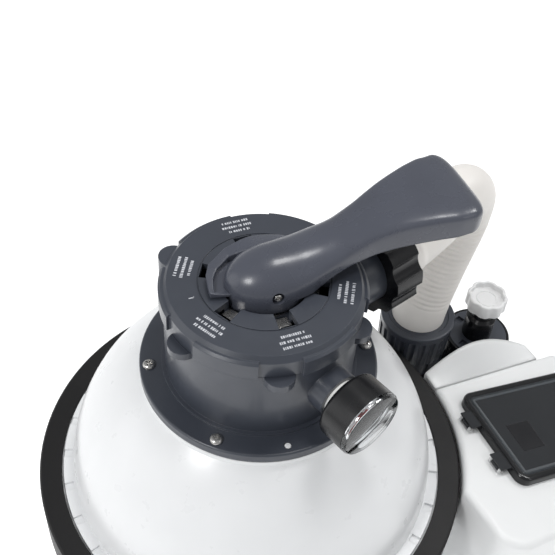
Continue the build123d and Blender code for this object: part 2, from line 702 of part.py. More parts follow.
def pump_casing():
    volute = along_y(MOTOR_X, MOTOR_Z) * Pos(0, 0, 6) * Cylinder(64, 48, align=BASE)
    pipe = Pos(OUTLET_X, OUTLET_Y, MOTOR_Z) * Cylinder(22, OUTLET_TOP - MOTOR_Z, align=BASE)
    web = Pos(OUTLET_X + 5, 34, MOTOR_Z + 20) * Box(20, 40, 120, align=BASE)
    bowl = Pos(STRAINER_X, STRAINER_Y, 252) * Cylinder(STRAINER_R, BOWL_TOP - 252, align=BASE)
    neck = Pos(STRAINER_X, STRAINER_Y + 6, 190) * Cylinder(18, 70, align=BASE)
    bridge = Pos(226, 42, 262) * Box(44, 26, 70, align=BASE)
    inlet_neck = along_y(STRAINER_X, INLET_Z) * Pos(0, 0, STRAINER_Y + 20) * Cylinder(PORT_R - 1.5, 57, align=BASE)
    inlet = inlet_neck + along_y(STRAINER_X, INLET_Z) * Pos(0, 0, INLET_THREAD_Y) * Cylinder(PORT_R, 36, align=BASE)
    suction = along_y(MOTOR_X, MOTOR_Z) * Pos(0, 0, 50) * Cylinder(34, 30, align=BASE)
    rise = Pos(STRAINER_X - 12, 62, MOTOR_Z) * Cylinder(15, 108, align=BASE)
    foot = Pos(MOTOR_X, 30, TRAY_TOP) * Box(76, 44, 60, align=BASE)
    body = volute + pipe + web + bowl + neck + bridge + inlet + suction + rise + foot
    body -= Pos(OUTLET_X, OUTLET_Y, MOTOR_Z + 18) * Cylinder(19, OUTLET_TOP, align=BASE)
    body -= Pos(STRAINER_X, STRAINER_Y, 257) * Cylinder(STRAINER_R - 3, 120, align=BASE)
    body -= along_y(STRAINER_X, INLET_Z) * Pos(0, 0, STRAINER_Y) * Cylinder(PORT_BORE_R, 90, align=BASE)
    body -= along_y(MOTOR_X, MOTOR_Z) * Pos(0, 0, 1) * Cylinder(58, 45, align=BASE)
    body -= along_y(MOTOR_X, MOTOR_Z) * Pos(0, 0, 40) * Cylinder(17, 34, align=BASE)
    body -= Pos(STRAINER_X - 12, 62, MOTOR_Z - 4) * Cylinder(11, 112, align=BASE)
    return body


def strainer_lid():
    """Flat lid with four grip sockets, its raised rim standing on the bowl's seal."""
    lid = disc(STRAINER_R, BOWL_TOP + 1.5, LID_TOP)
    lid = fillet(lid.edges().group_by(Axis.Z)[-1], 0.8)
    lid -= disc(STRAINER_R - 4, BOWL_TOP, LID_TOP - 4.5)
    for i in range(4):
        lid -= Rot(0, 0, LID_SLOT_AZ + 90 * i) * Pos(21.5, 0, LID_TOP - 3.2) * Box(7, 9, 5, align=BASE)
    return Pos(STRAINER_X, STRAINER_Y, 0) * lid - Pos(VENT_X, VENT_Y, BOWL_TOP) * Cylinder(9, 40, align=BASE)


def lid_ring():
    ring = tube(STRAINER_R + 3, STRAINER_R + RUN_GAP, BOWL_TOP - 14, LID_TOP - 0.5)
    ring = fillet(ring.edges().group_by(Axis.Z)[-1].sort_by(SortBy.RADIUS)[-1], 1.2)
    for i in range(24):
        ring -= Rot(0, 0, 15 * i) * Pos(STRAINER_R + 4.0, 0, BOWL_TOP - 16) * Cylinder(1.7, 26, align=BASE)
    return Pos(STRAINER_X, STRAINER_Y, 0) * ring


def lid_oring():
    return Pos(STRAINER_X, STRAINER_Y, 0) * tube(STRAINER_R - 0.5, STRAINER_R - 2.8, BOWL_TOP, BOWL_TOP + 1.5)


def strainer_basket():
    wall = Cylinder(24.2, 88, align=BASE) - Pos(0, 0, 2) * Cylinder(22.4, 88, align=BASE)
    for level in range(4):
        for i in range(6):
            wall -= Pos(0, 0, 14 + 20 * level) * Rot(0, 0, 30 * i) * Rot(0, 90, 0) * Cylinder(4.2, 80)
    return Pos(STRAINER_X, STRAINER_Y, 257) * wall


def vent_valve():
    """Air vent screwed into the lid: a black post with a narrower neck that carries the cap."""
    post = disc(VENT_R, LID_TOP, VENT_CAP_Z - 12)
    post = chamfer(post.edges().group_by(Axis.Z)[-1], 3)
    post += disc(VENT_NECK_R, VENT_CAP_Z - 13, VENT_CAP_Z + 7.5) + disc(9, LID_TOP - 10, LID_TOP + 1)
    return Pos(VENT_X, VENT_Y, 0) * (post - disc(4, LID_TOP - 12, VENT_CAP_Z + 10))


def vent_cap():
    cap = lobed_nut(19.2, 8, 1.7, 14.5)
    cap -= Pos(0, 0, -1) * Cylinder(VENT_NECK_R + RUN_GAP, 8.9, align=BASE)
    cap -= Pos(0, 0, 10.5) * Cylinder(12.5, 6, align=BASE)
    return Pos(VENT_X, VENT_Y, VENT_CAP_Z) * cap


def motor_axis_disc(radius, start, depth):
    return along_y(MOTOR_X, MOTOR_Z) * Pos(0, 0, start) * Cylinder(radius, depth, align=BASE)


def motor_shaft():
    return motor_axis_disc(6, -150, 176) + motor_axis_disc(24, -120, 80)


def motor_stator():
    case = motor_axis_disc(48, -136, 112) - motor_axis_disc(24.6, -150, 140)
    cap = motor_axis_disc(48, -140, 5) + motor_axis_disc(48, -25, 5)
    case += cap - motor_axis_disc(6.06, -152, 150)
    case += Pos(MOTOR_X, -80, 40) * Box(70, 80, 66, align=BASE) - motor_axis_disc(47, -150, 150)
    return case


def shaft_seal():
    return motor_axis_disc(14, 0.5, 7) - motor_axis_disc(6.06, -1, 12)


def impeller():
    plate = motor_axis_disc(44, 16, 3)
    hub = motor_axis_disc(11, 12, 16)
    wheel = plate + hub - motor_axis_disc(6, -2, 29)
    for i in range(6):
        vane = Pos(11, 0, 18) * Rot(0, 0, 28) * Box(34, 2.4, 10, align=(Align.MIN, Align.CENTER, Align.MIN))
        clipped = vane & Cylinder(43, 60, align=BASE)
        wheel += along_y(MOTOR_X, MOTOR_Z) * Rot(0, 0, 60 * i) * clipped
    return wheel


def casing_cover():
    plate = motor_axis_disc(62, 0.2, 5.8) + motor_axis_disc(36, HOUSING_Y1, 17)
    return plate - motor_axis_disc(14, HOUSING_Y1 - 1, 30)


# ------------------------------------------------------------------ motor housing

def deck_frame():
    """Frame of the timer cover on the sloping deck: own X runs down the slope, own Z is the deck's normal."""
    corner = Pos(COVER_X0, COVER_Y1, 0)
    away = Pos(-COVER_X0, -COVER_Y1, 0)
    return Pos(HOUSING_X0, 0, DECK_Z) * Rot(0, DECK_SLOPE, 0) * corner * Rot(0, 0, COVER_TWIST) * away


def housing_block(inset, low, high):
    """Housing's plan between two heights, square at the corner that meets the tank and rounded elsewhere."""
    width = HOUSING_X1 - HOUSING_WRAP_X0 - 2 * inset
    depth = HOUSING_Y1 - HOUSING_Y0 - 2 * inset
    middle = Pos((HOUSING_WRAP_X0 + HOUSING_X1) / 2, (HOUSING_Y0 + HOUSING_Y1) / 2)
    plan = middle * RectangleRounded(width, depth, 22 - inset)
    plan += Pos(HOUSING_X0 + inset + 15, HOUSING_Y1 - inset - 15) * Rectangle(30, 30)
    block = Pos(0, 0, low) * extrude(plan, high - low)
    return block - disc(BAND_R + HOUSING_GAP + inset, low - 1, high + 1)


def above_deck(offset):
    cutter = Box(400, 400, 120, align=BASE)
    return deck_frame() * Pos(100, -80, -offset) * cutter


def soft_deck(block):
    """Rounds the deck's edges, all but the back one that carries the collar."""
    deck = block.faces().sort_by(Axis.Z)[-1]
    rim = [edge for edge in deck.edges() if edge.center().Y < HOUSING_Y1 - 1]
    return fillet(rim, DECK_ROUND)


def collar():
    """Arched collar behind the deck: its top ramps up from the deck's back edge to clear the pump's outlet."""
    left, right, floor = HOUSING_X0 - 8, 297.0, 310.0
    deck_left = deck_height(left) - 0.3
    deck_right = deck_height(right) - 0.3
    front_line = Polyline((left, floor), (left, deck_left), (right, deck_right), (right, floor), close=True)
    arch = Spline((left, 381.0), (189, 399.6), (214, 408.8), (247, 401.0), (right, deck_right - 0.2))
    sides = Polyline((right, deck_right - 0.2), (right, floor), (left, floor), (left, 381.0))
    front = Plane(origin=(0, HOUSING_Y1 - 0.5, 0), x_dir=(1, 0, 0), z_dir=(0, -1, 0)) * make_face(front_line)
    back = Plane(origin=(0, COLLAR_Y1, 0), x_dir=(1, 0, 0), z_dir=(0, -1, 0)) * make_face([arch, sides])
    return loft([front, back], ruled=True) - disc(BAND_R + HOUSING_GAP, floor - 10, 430)


def deck_height(x):
    return DECK_Z - (x - HOUSING_X0) * math.tan(math.radians(DECK_SLOPE))


def cover_plan(grow, low, high, radius):
    """Rounded block over the timer panel, in the deck's frame."""
    length = COVER_LENGTH + 2 * grow
    depth = COVER_Y1 - COVER_Y0 + 2 * grow
    middle_x = COVER_X0 + COVER_LENGTH / 2
    middle_y = (COVER_Y0 + COVER_Y1) / 2
    plan = Pos(middle_x, middle_y) * RectangleRounded(length, depth, radius)
    return Pos(0, 0, low) * extrude(plan, high - low)


def housing_upper():
    outer = soft_deck(housing_block(0, HOUSING_SPLIT, 420) - above_deck(0)) + collar()
    inner = housing_block(HOUSING_WALL, HOUSING_SPLIT - 1, 420) - above_deck(HOUSING_WALL)
    pocket_shell = deck_frame() * cover_plan(-3, -16, -1, 8)
    pocket = deck_frame() * cover_plan(-6, -13, 1, 6)
    body = outer - inner + pocket_shell - pocket
    for y in hinge_tabs():
        for side in (-1, 1):
            body += hinge_cheek(y + side * 6.2)
    return body


def hinge_tabs():
    return (-61.3, -106.4)


def hinge_cheek(y):
    cheek = Pos(HINGE_X, y, HINGE_Z) * Rot(90, 0, 0) * Cylinder(2.2, 2.2)
    cheek += Pos(HINGE_X, y, -1) * Box(4.4, 2.2, HINGE_Z + 1, align=BASE)
    cheek -= Pos(HINGE_X, y, HINGE_Z) * Rot(90, 0, 0) * Cylinder(HINGE_PIN_R, 10)
    return deck_frame() * cheek


def housing_lower():
    outer = housing_block(0, TRAY_TOP, HOUSING_SPLIT)
    inner = housing_block(HOUSING_WALL, TRAY_TOP + HOUSING_WALL, HOUSING_SPLIT + 1)
    body = outer - inner
    for i in range(7):
        body -= Pos(HOUSING_X1 - 10, -150 + 18 * i, 70) * Box(30, 7, 70, align=BASE)
    body -= motor_axis_disc(20, HOUSING_Y1 - 8, 12)
    body -= Pos(300, HOUSING_Y0 - 5, 60) * Rot(-90, 0, 0) * Cylinder(8.2, 20, align=BASE)
    return body


def cord_gland():
    body = Cylinder(8.1, 8, align=BASE) + Pos(0, 0, -9) * Cylinder(11, 9, align=BASE)
    tail = Pos(0, 0, -25) * Cone(5.5, 8, 16, align=BASE)
    hole = Pos(0, 0, -30) * Cylinder(3.6, 60, align=BASE)
    return Pos(300, HOUSING_Y0, 60) * Rot(-90, 0, 0) * (body + tail - hole)


def timer_panel():
    panel = cover_plan(-6.4, -13, -11, 5.6)
    for x, y in button_points():
        panel -= Pos(x, y, -14) * Cylinder(6.4, 5, align=BASE)
    return deck_frame() * panel


def button_points():
    return [(COVER_X0 + 24 + 22 * i, -112.0) for i in range(4)]


def timer_button(index):
    x, y = button_points()[index]
    cap = Pos(x, y, -11.6) * Cylinder(6.0, 4.4, align=BASE)
    cap = fillet(cap.edges().group_by(Axis.Z)[-1], 1.2)
    return deck_frame() * cap


def timer_display():
    frame = Pos(COVER_X0 + 36, -68, -11) * Box(36, 28, 2.4, align=BASE)
    return deck_frame() * chamfer(frame.edges().group_by(Axis.Z)[-1], 0.6)


def timer_cover():
    lid = cover_plan(0, 0.4, COVER_H, 10)
    lid = chamfer(lid.edges().group_by(Axis.Z)[-1], 1.5)
    lid -= cover_plan(-COVER_WALL, 0.3, COVER_H - COVER_WALL, 8)
    for y in hinge_tabs():
        knuckle = Pos(HINGE_X, y, HINGE_Z) * Rot(90, 0, 0) * Cylinder(2.4, 9)
        arm = Pos(HINGE_X, y, HINGE_Z + 0.4) * Box(9.6, 9, 2.6, align=(Align.MIN, Align.CENTER, Align.MIN))
        roof = Pos(HINGE_X - 2, y, HINGE_Z + 2.7) * Box(11.6, 17.4, 1.4, align=(Align.MIN, Align.CENTER, Align.MIN))
        lid += knuckle + arm + roof
        lid -= Pos(HINGE_X, y, HINGE_Z) * Rot(90, 0, 0) * Cylinder(HINGE_PIN_R + RUN_GAP, 16)
    return deck_frame() * lid


def cover_hinge_pins():
    pins = []
    for y in hinge_tabs():
        pins.append(deck_frame() * Pos(HINGE_X, y, HINGE_Z) * Rot(90, 0, 0) * Cylinder(HINGE_PIN_R, 15.2))
    return Compound(children=pins)


# ------------------------------------------------------------------ all nodes

BUTTONS = ("power_button", "timer_button", "mode_button", "lock_button")

NODES = {
    "base_tray": base_tray,
    "base_feet": base_feet,
    "tank_body": tank_body,
    "drain_plug": drain_plug,
    "tank_dome": tank_dome,
    "dome_seal": dome_seal,
    "clamp_band": clamp_band,
    "clamp_bolt": clamp_bolt,
    "clamp_knob": clamp_knob,
    "center_pipe": center_pipe,
    "lateral_hub": lateral_hub,
    "laterals": laterals,
    "top_diffuser": top_diffuser,
    "valve_gasket": valve_gasket,
    "valve_body": valve_body,
    "flange_screws": flange_screws,
    "spider_gasket": spider_gasket,
    "valve_cover": valve_cover,
    "cover_oring": cover_oring,
    "rotor": rotor,
    "rotor_stem": rotor_stem,
    "rotor_spring": rotor_spring,
    "thrust_washer": thrust_washer,
    "handle": handle,
    "handle_pin": handle_pin,
    "port_union_nut": port_union_nut,
    "port_oring": port_oring,
    "waste_plug": waste_plug,
    "interconnect_hose": interconnect_hose,
    "outlet_union_nut": outlet_union_nut,
    "gauge_washer": gauge_washer,
    "gauge_stem": gauge_stem,
    "gauge_case": gauge_case,
    "gauge_dial": gauge_dial,
    "gauge_needle": gauge_needle,
    "gauge_lens": gauge_lens,
    "pump_casing": pump_casing,
    "casing_cover": casing_cover,
    "strainer_lid": strainer_lid,
    "lid_ring": lid_ring,
    "lid_oring": lid_oring,
    "strainer_basket": strainer_basket,
    "vent_valve": vent_valve,
    "vent_cap": vent_cap,
    "motor_shaft": motor_shaft,
    "motor_stator": motor_stator,
    "shaft_seal": shaft_seal,
    "impeller": impeller,
    "housing_upper": housing_upper,
    "housing_lower": housing_lower,
    "cord_gland": cord_gland,
    "timer_panel": timer_panel,
    "timer_display": timer_display,
    "timer_cover": timer_cover,
    "cover_hinge_pins": cover_hinge_pins,
}


def main():
    os.makedirs("parts", exist_ok=True)
    for name, maker in NODES.items():
        export_step(maker(), "parts/" + name + ".step")
    for index, name in enumerate(BUTTONS):
        export_step(timer_button(index), "parts/" + name + ".step")


main()
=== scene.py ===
import bpy
import bmesh
import json
import math
import random
from mathutils import Matrix, Vector


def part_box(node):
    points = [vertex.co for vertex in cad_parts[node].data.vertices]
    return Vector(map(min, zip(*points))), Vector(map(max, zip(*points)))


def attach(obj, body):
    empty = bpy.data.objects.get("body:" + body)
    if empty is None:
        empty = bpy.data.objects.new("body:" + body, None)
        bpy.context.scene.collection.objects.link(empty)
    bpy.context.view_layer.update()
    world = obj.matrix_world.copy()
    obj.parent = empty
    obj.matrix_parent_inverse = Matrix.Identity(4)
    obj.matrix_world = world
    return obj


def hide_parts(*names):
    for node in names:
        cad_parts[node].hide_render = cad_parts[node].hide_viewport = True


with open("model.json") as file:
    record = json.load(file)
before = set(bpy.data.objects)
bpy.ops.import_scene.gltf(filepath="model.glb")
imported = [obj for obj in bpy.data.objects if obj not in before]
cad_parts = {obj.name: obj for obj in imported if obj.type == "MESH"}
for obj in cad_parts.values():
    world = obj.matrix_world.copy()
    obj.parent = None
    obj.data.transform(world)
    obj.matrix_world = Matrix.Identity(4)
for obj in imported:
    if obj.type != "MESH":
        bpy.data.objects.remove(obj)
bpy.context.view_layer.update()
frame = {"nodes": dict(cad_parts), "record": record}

NODES = frame["nodes"]
MM = 0.001

# ---------------------------------------------------------------- dimensions shared with the CAD, in metres

STATION_AZ = 23.4
SCREW_AZ = 41.4
SCREW_CIRCLE_R = 0.0805
SPARE_HOLE_AZ = -103.3
HANDLE_AZ = -6.6
PUMP_PORT_AZ = 11.0
PUMP_PORT_Z = 0.540
GAUGE_AZ = -77.0
SPINDLE_PIN_Z = 0.0065
COVER_PLAN = (13.0, 141.0, -131.0, -35.0, 10.0)   # cover's x and y limits on the deck and corner radius, in mm
BOX_FACES = ((0, 3, 2, 1), (4, 5, 6, 7), (0, 1, 5, 4), (1, 2, 6, 5), (2, 3, 7, 6), (3, 0, 4, 7))
OUTLET = Vector((0.2005, 0.0547, 0.400))


def polar(reach, azimuth, z):
    a = math.radians(azimuth)
    return Vector((reach * math.cos(a), reach * math.sin(a), z))


# ---------------------------------------------------------------- materials

def srgb(r, g, b):
    """Linear colour from 0-255 display values."""
    out = []
    for c in (r, g, b):
        c /= 255.0
        out.append(c / 12.92 if c <= 0.04045 else ((c + 0.055) / 1.055) ** 2.4)
    return (out[0], out[1], out[2], 1.0)


def scaled(colour, k):
    return (min(1.0, colour[0] * k), min(1.0, colour[1] * k), min(1.0, colour[2] * k), 1.0)


class Graph:
    """Small helper that adds and links shader nodes of one material."""

    def __init__(self, name):
        self.material = bpy.data.materials.new(name)
        self.material.use_nodes = True
        self.tree = self.material.node_tree
        self.shader = self.tree.nodes["Principled BSDF"]
        self.coords = self.add("ShaderNodeTexCoord").outputs["Object"]

    def add(self, kind, **sockets):
        node = self.tree.nodes.new(kind)
        for name, value in sockets.items():
            node.inputs[name.replace("_", " ")].default_value = value
        return node

    def link(self, a, b):
        self.tree.links.new(a, b)

    def noise(self, scale, detail=3.0, stretch=None):
        node = self.add("ShaderNodeTexNoise", Scale=scale, Detail=detail, Roughness=0.55)
        if stretch:
            mapping = self.add("ShaderNodeMapping", Scale=stretch)
            self.link(self.coords, mapping.inputs["Vector"])
            self.link(mapping.outputs["Vector"], node.inputs["Vector"])
        else:
            self.link(self.coords, node.inputs["Vector"])
        return node.outputs["Fac"]

    def ranged(self, value, from_min, from_max, to_min, to_max):
        node = self.add("ShaderNodeMapRange", From_Min=from_min, From_Max=from_max, To_Min=to_min,
                        To_Max=to_max)
        self.link(value, node.inputs["Value"])
        return node.outputs["Result"]

    def mix(self, fac, a, b):
        node = self.tree.nodes.new("ShaderNodeMix")
        node.data_type = "RGBA"
        self.link(fac, node.inputs["Factor"])
        for value, socket in ((a, node.inputs[6]), (b, node.inputs[7])):
            if hasattr(value, "is_linked"):
                self.link(value, socket)
            else:
                socket.default_value = value
        return node.outputs[2]

    def edge_mask(self, radius, gain):
        """1 on sharp edges, 0 on flats, from the difference between rounded and plain normals."""
        bevel = self.add("ShaderNodeBevel", Radius=radius)
        bevel.samples = 4
        geometry = self.add("ShaderNodeNewGeometry")
        dot = self.add("ShaderNodeVectorMath")
        dot.operation = "DOT_PRODUCT"
        self.link(bevel.outputs["Normal"], dot.inputs[0])
        self.link(geometry.outputs["Normal"], dot.inputs[1])
        return bevel.outputs["Normal"], self.ranged(dot.outputs["Value"], 1.0, 1.0 - 1.0 / gain, 0.0, 1.0)

    def bump(self, height, strength, distance, normal=None):
        node = self.add("ShaderNodeBump", Strength=strength, Distance=distance)
        self.link(height, node.inputs["Height"])
        if normal is not None:
            self.link(normal, node.inputs["Normal"])
        return node.outputs["Normal"]


def moulded(name, colour, rough, grain=0.10, grain_scale=2600.0, variation=0.06, edge=0.0007, painted_edge_highlight=0.25,
            coat=0.0, specular=0.5):
    """Injection-moulded plastic: faint colour drift, fine grain, softened edges, and a painted highlight that
    lightens the edges.
    """
    g = Graph(name)
    drift = g.mix(g.ranged(g.noise(28.0), 0.3, 0.7, 0.0, 1.0), scaled(colour, 1.0 - variation),
                  scaled(colour, 1.0 + variation))
    rounded, mask = g.edge_mask(edge, 5.0)
    # Painted highlight: along sharp edges the colour is mixed towards a lighter copy of itself.
    edge_highlight_share = g.add("ShaderNodeMath")
    edge_highlight_share.operation = "MULTIPLY"
    edge_highlight_share.inputs[1].default_value = painted_edge_highlight
    g.link(mask, edge_highlight_share.inputs[0])
    g.link(g.mix(edge_highlight_share.outputs[0], drift, scaled(colour, 1.6)), g.shader.inputs["Base Color"])
    g.link(g.ranged(g.noise(60.0, 4.0), 0.25, 0.75, rough - 0.05, rough + 0.06), g.shader.inputs["Roughness"])
    g.link(g.bump(g.noise(grain_scale, 2.0), grain, 0.00012, rounded), g.shader.inputs["Normal"])
    g.shader.inputs["Specular IOR Level"].default_value = specular
    g.shader.inputs["Coat Weight"].default_value = coat
    g.shader.inputs["Coat Roughness"].default_value = 0.12
    return g.material


def metal(name, colour, rough):
    """Brushed or turned metal with drawn-out scratches."""
    g = Graph(name)
    rounded, _ = g.edge_mask(0.0003, 5.0)
    grain = g.noise(900.0, 3.0, (1.0, 1.0, 60.0))
    g.link(g.mix(grain, scaled(colour, 0.82), scaled(colour, 1.1)), g.shader.inputs["Base Color"])
    g.link(g.ranged(grain, 0.3, 0.7, rough - 0.06, rough + 0.1), g.shader.inputs["Roughness"])
    g.link(g.bump(grain, 0.12, 0.00005, rounded), g.shader.inputs["Normal"])
    g.shader.inputs["Metallic"].default_value = 1.0
    return g.material


def clear(name, haze):
    """Clear moulded plastic: see-through face on, mirror-like at a glancing angle, with a faint ripple."""
    g = Graph(name)
    g.link(g.mix(g.noise(40.0), (0.93, 0.95, 0.97, 1.0), (1.0, 1.0, 1.0, 1.0)), g.shader.inputs["Base Color"])
    g.link(g.ranged(g.noise(300.0), 0.3, 0.7, 0.03, 0.07), g.shader.inputs["Roughness"])
    ripple = g.bump(g.noise(180.0, 1.0), 0.03, 0.0001)
    g.link(ripple, g.shader.inputs["Normal"])
    fresnel = g.add("ShaderNodeFresnel", IOR=1.5)
    g.link(ripple, fresnel.inputs["Normal"])
    g.link(g.ranged(fresnel.outputs[0], 0.04, 1.0, haze, 1.0), g.shader.inputs["Alpha"])
    g.shader.inputs["Metallic"].default_value = 1.0
    return g.material


SLATE = srgb(60, 64, 73)
# Each look's edge value sets how strongly its sharp edges are lightened by the painted highlight.
MATERIALS = {
    "grey_plastic": moulded("grey_plastic_look", srgb(176, 178, 182), 0.5),
    "rubber_black": moulded("rubber_look", srgb(24, 24, 25), 0.75, grain=0.25, grain_scale=1800.0),
    "white_tank": moulded("tank_look", srgb(236, 237, 238), 0.3, grain=0.05, variation=0.015, painted_edge_highlight=0.0,
                          coat=0.15),
    "white_pvc": moulded("pvc_look", srgb(238, 238, 236), 0.4, grain=0.06, variation=0.02, painted_edge_highlight=0.0),
    "black_plastic": moulded("black_plastic_look", srgb(17, 17, 20), 0.22, painted_edge_highlight=0.3, specular=0.42),
    "band_black": moulded("band_look", srgb(20, 19, 20), 0.5, grain=0.18, painted_edge_highlight=0.25, specular=0.35),
    "stainless": metal("stainless_look", srgb(200, 198, 195), 0.25),
    "slate_plastic": moulded("slate_look", SLATE, 0.34, painted_edge_highlight=0.55, coat=0.2),
    "slate_gloss": moulded("handle_look", srgb(75, 78, 88), 0.27, grain=0.16, grain_scale=1500.0, edge=0.0003,
                           painted_edge_highlight=0.0, coat=0.1),
    "white_hose": moulded("hose_look", srgb(240, 236, 231), 0.42, variation=0.03, painted_edge_highlight=0.0),
    "brass": metal("brass_look", srgb(200, 168, 96), 0.3),
    "gauge_black": moulded("gauge_case_look", srgb(20, 20, 22), 0.25, painted_edge_highlight=0.3),
    "dial_white": moulded("dial_look", srgb(235, 236, 238), 0.45, grain=0.03, painted_edge_highlight=0.0),
    "print_white": moulded("print_look", srgb(214, 216, 222), 0.5, grain=0.02, painted_edge_highlight=0.0),
    "print_black": moulded("print_black_look", srgb(22, 22, 24), 0.5, grain=0.02, painted_edge_highlight=0.0),
    "dial_green": moulded("dial_green_look", srgb(150, 168, 40), 0.5, grain=0.02, painted_edge_highlight=0.0),
    "dial_yellow": moulded("dial_yellow_look", srgb(214, 204, 48), 0.5, grain=0.02, painted_edge_highlight=0.0),
    "dial_red": moulded("dial_red_look", srgb(170, 40, 34), 0.5, grain=0.02, painted_edge_highlight=0.0),
    "black_gloss": moulded("black_gloss_look", srgb(18, 19, 21), 0.16, grain=0.03, painted_edge_highlight=0.5),
    "needle_red": moulded("needle_look", srgb(150, 24, 20), 0.4, painted_edge_highlight=0.0),
    "clear_lens": clear("lens_look", 0.07),
    "white_cap": moulded("cap_look", srgb(240, 240, 240), 0.33, variation=0.015, painted_edge_highlight=0.0),
    "motor_metal": metal("motor_look", srgb(60, 60, 64), 0.4),
    "white_housing": moulded("housing_look", srgb(241, 242, 242), 0.34, grain=0.05, variation=0.012, painted_edge_highlight=0.0,
                             edge=0.004),
    "panel_dark": moulded("panel_look", srgb(42, 45, 48), 0.5),
    "display_dark": moulded("display_look", srgb(20, 20, 24), 0.2, painted_edge_highlight=0.1),
    "smoke_cover": moulded("smoke_look", srgb(38, 40, 43), 0.16, painted_edge_highlight=0.5),
    # Lighter smoke for the cover's border, a painted sheen.
    "smoke_light": moulded("smoke_border_sheen_look", srgb(78, 82, 86), 0.2, painted_edge_highlight=0.3),
    "button_grey": moulded("button_look", srgb(110, 114, 120), 0.45),
}


def dress_cad():
    """Gives each CAD node the look of its record slot."""
    slots = {row["node"]: row["material_slot"] for row in frame["record"]["subparts"]}
    for name, obj in NODES.items():
        look = MATERIALS[slots[name]]
        if not obj.material_slots:
            obj.data.materials.append(look)
        for slot in obj.material_slots:
            slot.material = look


# ---------------------------------------------------------------- mesh helpers

def mesh_object(name, verts, faces, look, body, smooth=True):
    mesh = bpy.data.meshes.new(name)
    mesh.from_pydata([tuple(v) for v in verts], [], faces)
    mesh.validate()
    mesh.update()
    obj = bpy.data.objects.new(name, mesh)
    bpy.context.scene.collection.objects.link(obj)
    mesh.materials.append(look)
    for poly in mesh.polygons:
        poly.use_smooth = smooth
    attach(obj, body)
    return obj


def lathe_rings(profile, steps, frame_matrix):
    """Vertices and faces of a closed turned solid, from (radius, height) pairs that run from axis to axis."""
    verts, faces = [], []
    inner = profile[1:-1]
    verts.append(frame_matrix @ Vector((0, 0, profile[0][1])))
    for r, z in inner:
        for i in range(steps):
            a = 2 * math.pi * i / steps
            verts.append(frame_matrix @ Vector((r * math.cos(a), r * math.sin(a), z)))
    verts.append(frame_matrix @ Vector((0, 0, profile[-1][1])))
    last = len(verts) - 1
    for i in range(steps):
        k = (i + 1) % steps
        faces.append((0, 1 + k, 1 + i))
        for row in range(len(inner) - 1):
            a = 1 + row * steps
            b = a + steps
            faces.append((a + i, a + k, b + k, b + i))
        end = 1 + (len(inner) - 1) * steps
        faces.append((end + i, end + k, last))
    return verts, faces


def bridge_rings(rings, cap_start=True, cap_end=True):
    """Vertices and faces that join equal closed rings in order."""
    verts = [v for ring in rings for v in ring]
    n = len(rings[0])
    faces = []
    for row in range(len(rings) - 1):
        for i in range(n):
            k = (i + 1) % n
            faces.append((row * n + i, row * n + k, (row + 1) * n + k, (row + 1) * n + i))
    if cap_start:
        faces.append(tuple(reversed(range(n))))
    if cap_end:
        faces.append(tuple(range((len(rings) - 1) * n, len(rings) * n)))
    return verts, faces


def closed_loop(name, rings, look, body, keep_sharp):
    """Solid made by joining equal closed rings all the way round, back to the first."""
    verts, faces = bridge_rings(rings + [rings[0]], False, False)
    total = len(rings) * len(rings[0])
    faces = [tuple(v % total for v in face) for face in faces]
    obj = mesh_object(name, verts[:total], faces, look, body)
    recalc(obj)
    if keep_sharp:
        shade(obj, keep_sharp)
    return obj


def circle_outline(radius, sides):
    """Corners of a circle with its radius in millimetres, in metres."""
    return [(radius * MM * math.cos(2 * math.pi * i / sides), radius * MM * math.sin(2 * math.pi * i / sides))
            for i in range(sides)]


def recalc(obj):
    bm = bmesh.new()
    bm.from_mesh(obj.data)
    bmesh.ops.recalc_face_normals(bm, faces=bm.faces)
    bm.to_mesh(obj.data)
    bm.free()


def subtract(obj, cutters, keep_sharp=35.0):
    """Cuts the cutter meshes out of obj for good and drops the cutters."""
    for cutter in cutters:
        mod = obj.modifiers.new("cut", "BOOLEAN")
        mod.operation = "DIFFERENCE"
        mod.solver = "EXACT"
        mod.object = cutter
    graph = bpy.context.evaluated_depsgraph_get()
    mesh = bpy.data.meshes.new_from_object(obj.evaluated_get(graph))
    obj.modifiers.clear()
    obj.data = mesh
    for cutter in cutters:
        bpy.data.objects.remove(cutter)
    shade(obj, keep_sharp)


def shade(obj, angle):
    """Smooth shading with edges sharper than the angle kept crisp."""
    mesh = obj.data
    for poly in mesh.polygons:
        poly.use_smooth = True
    bm = bmesh.new()
    bm.from_mesh(mesh)
    limit = math.radians(angle)
    for edge in bm.edges:
        if len(edge.link_faces) == 2:
            edge.smooth = edge.calc_face_angle(0.0) < limit
    bm.to_mesh(mesh)
    bm.free()


def loose_mesh(name, verts, faces):
    mesh = bpy.data.meshes.new(name)
    mesh.from_pydata([tuple(v) for v in verts], [], faces)
    mesh.update()
    obj = bpy.data.objects.new(name, mesh)
    bpy.context.scene.collection.objects.link(obj)
    recalc(obj)
    return obj


def prism(name, outline, low, high, place=Matrix.Identity(4)):
    """Upright solid over a closed outline of (x, y) corners, as a cutter or a small part."""
    rings = [[place @ Vector((x, y, z)) for x, y in outline] for z in (low, high)]
    verts, faces = bridge_rings(rings)
    return loose_mesh(name, verts, faces)


# ---------------------------------------------------------------- screws

def cross_outline(arm, half):
    return [(arm, -half), (arm, half), (half, half), (half, arm), (-half, arm), (-half, half), (-arm, half),
            (-arm, -half), (-half, -half), (-half, -arm), (half, -arm), (half, -half)]


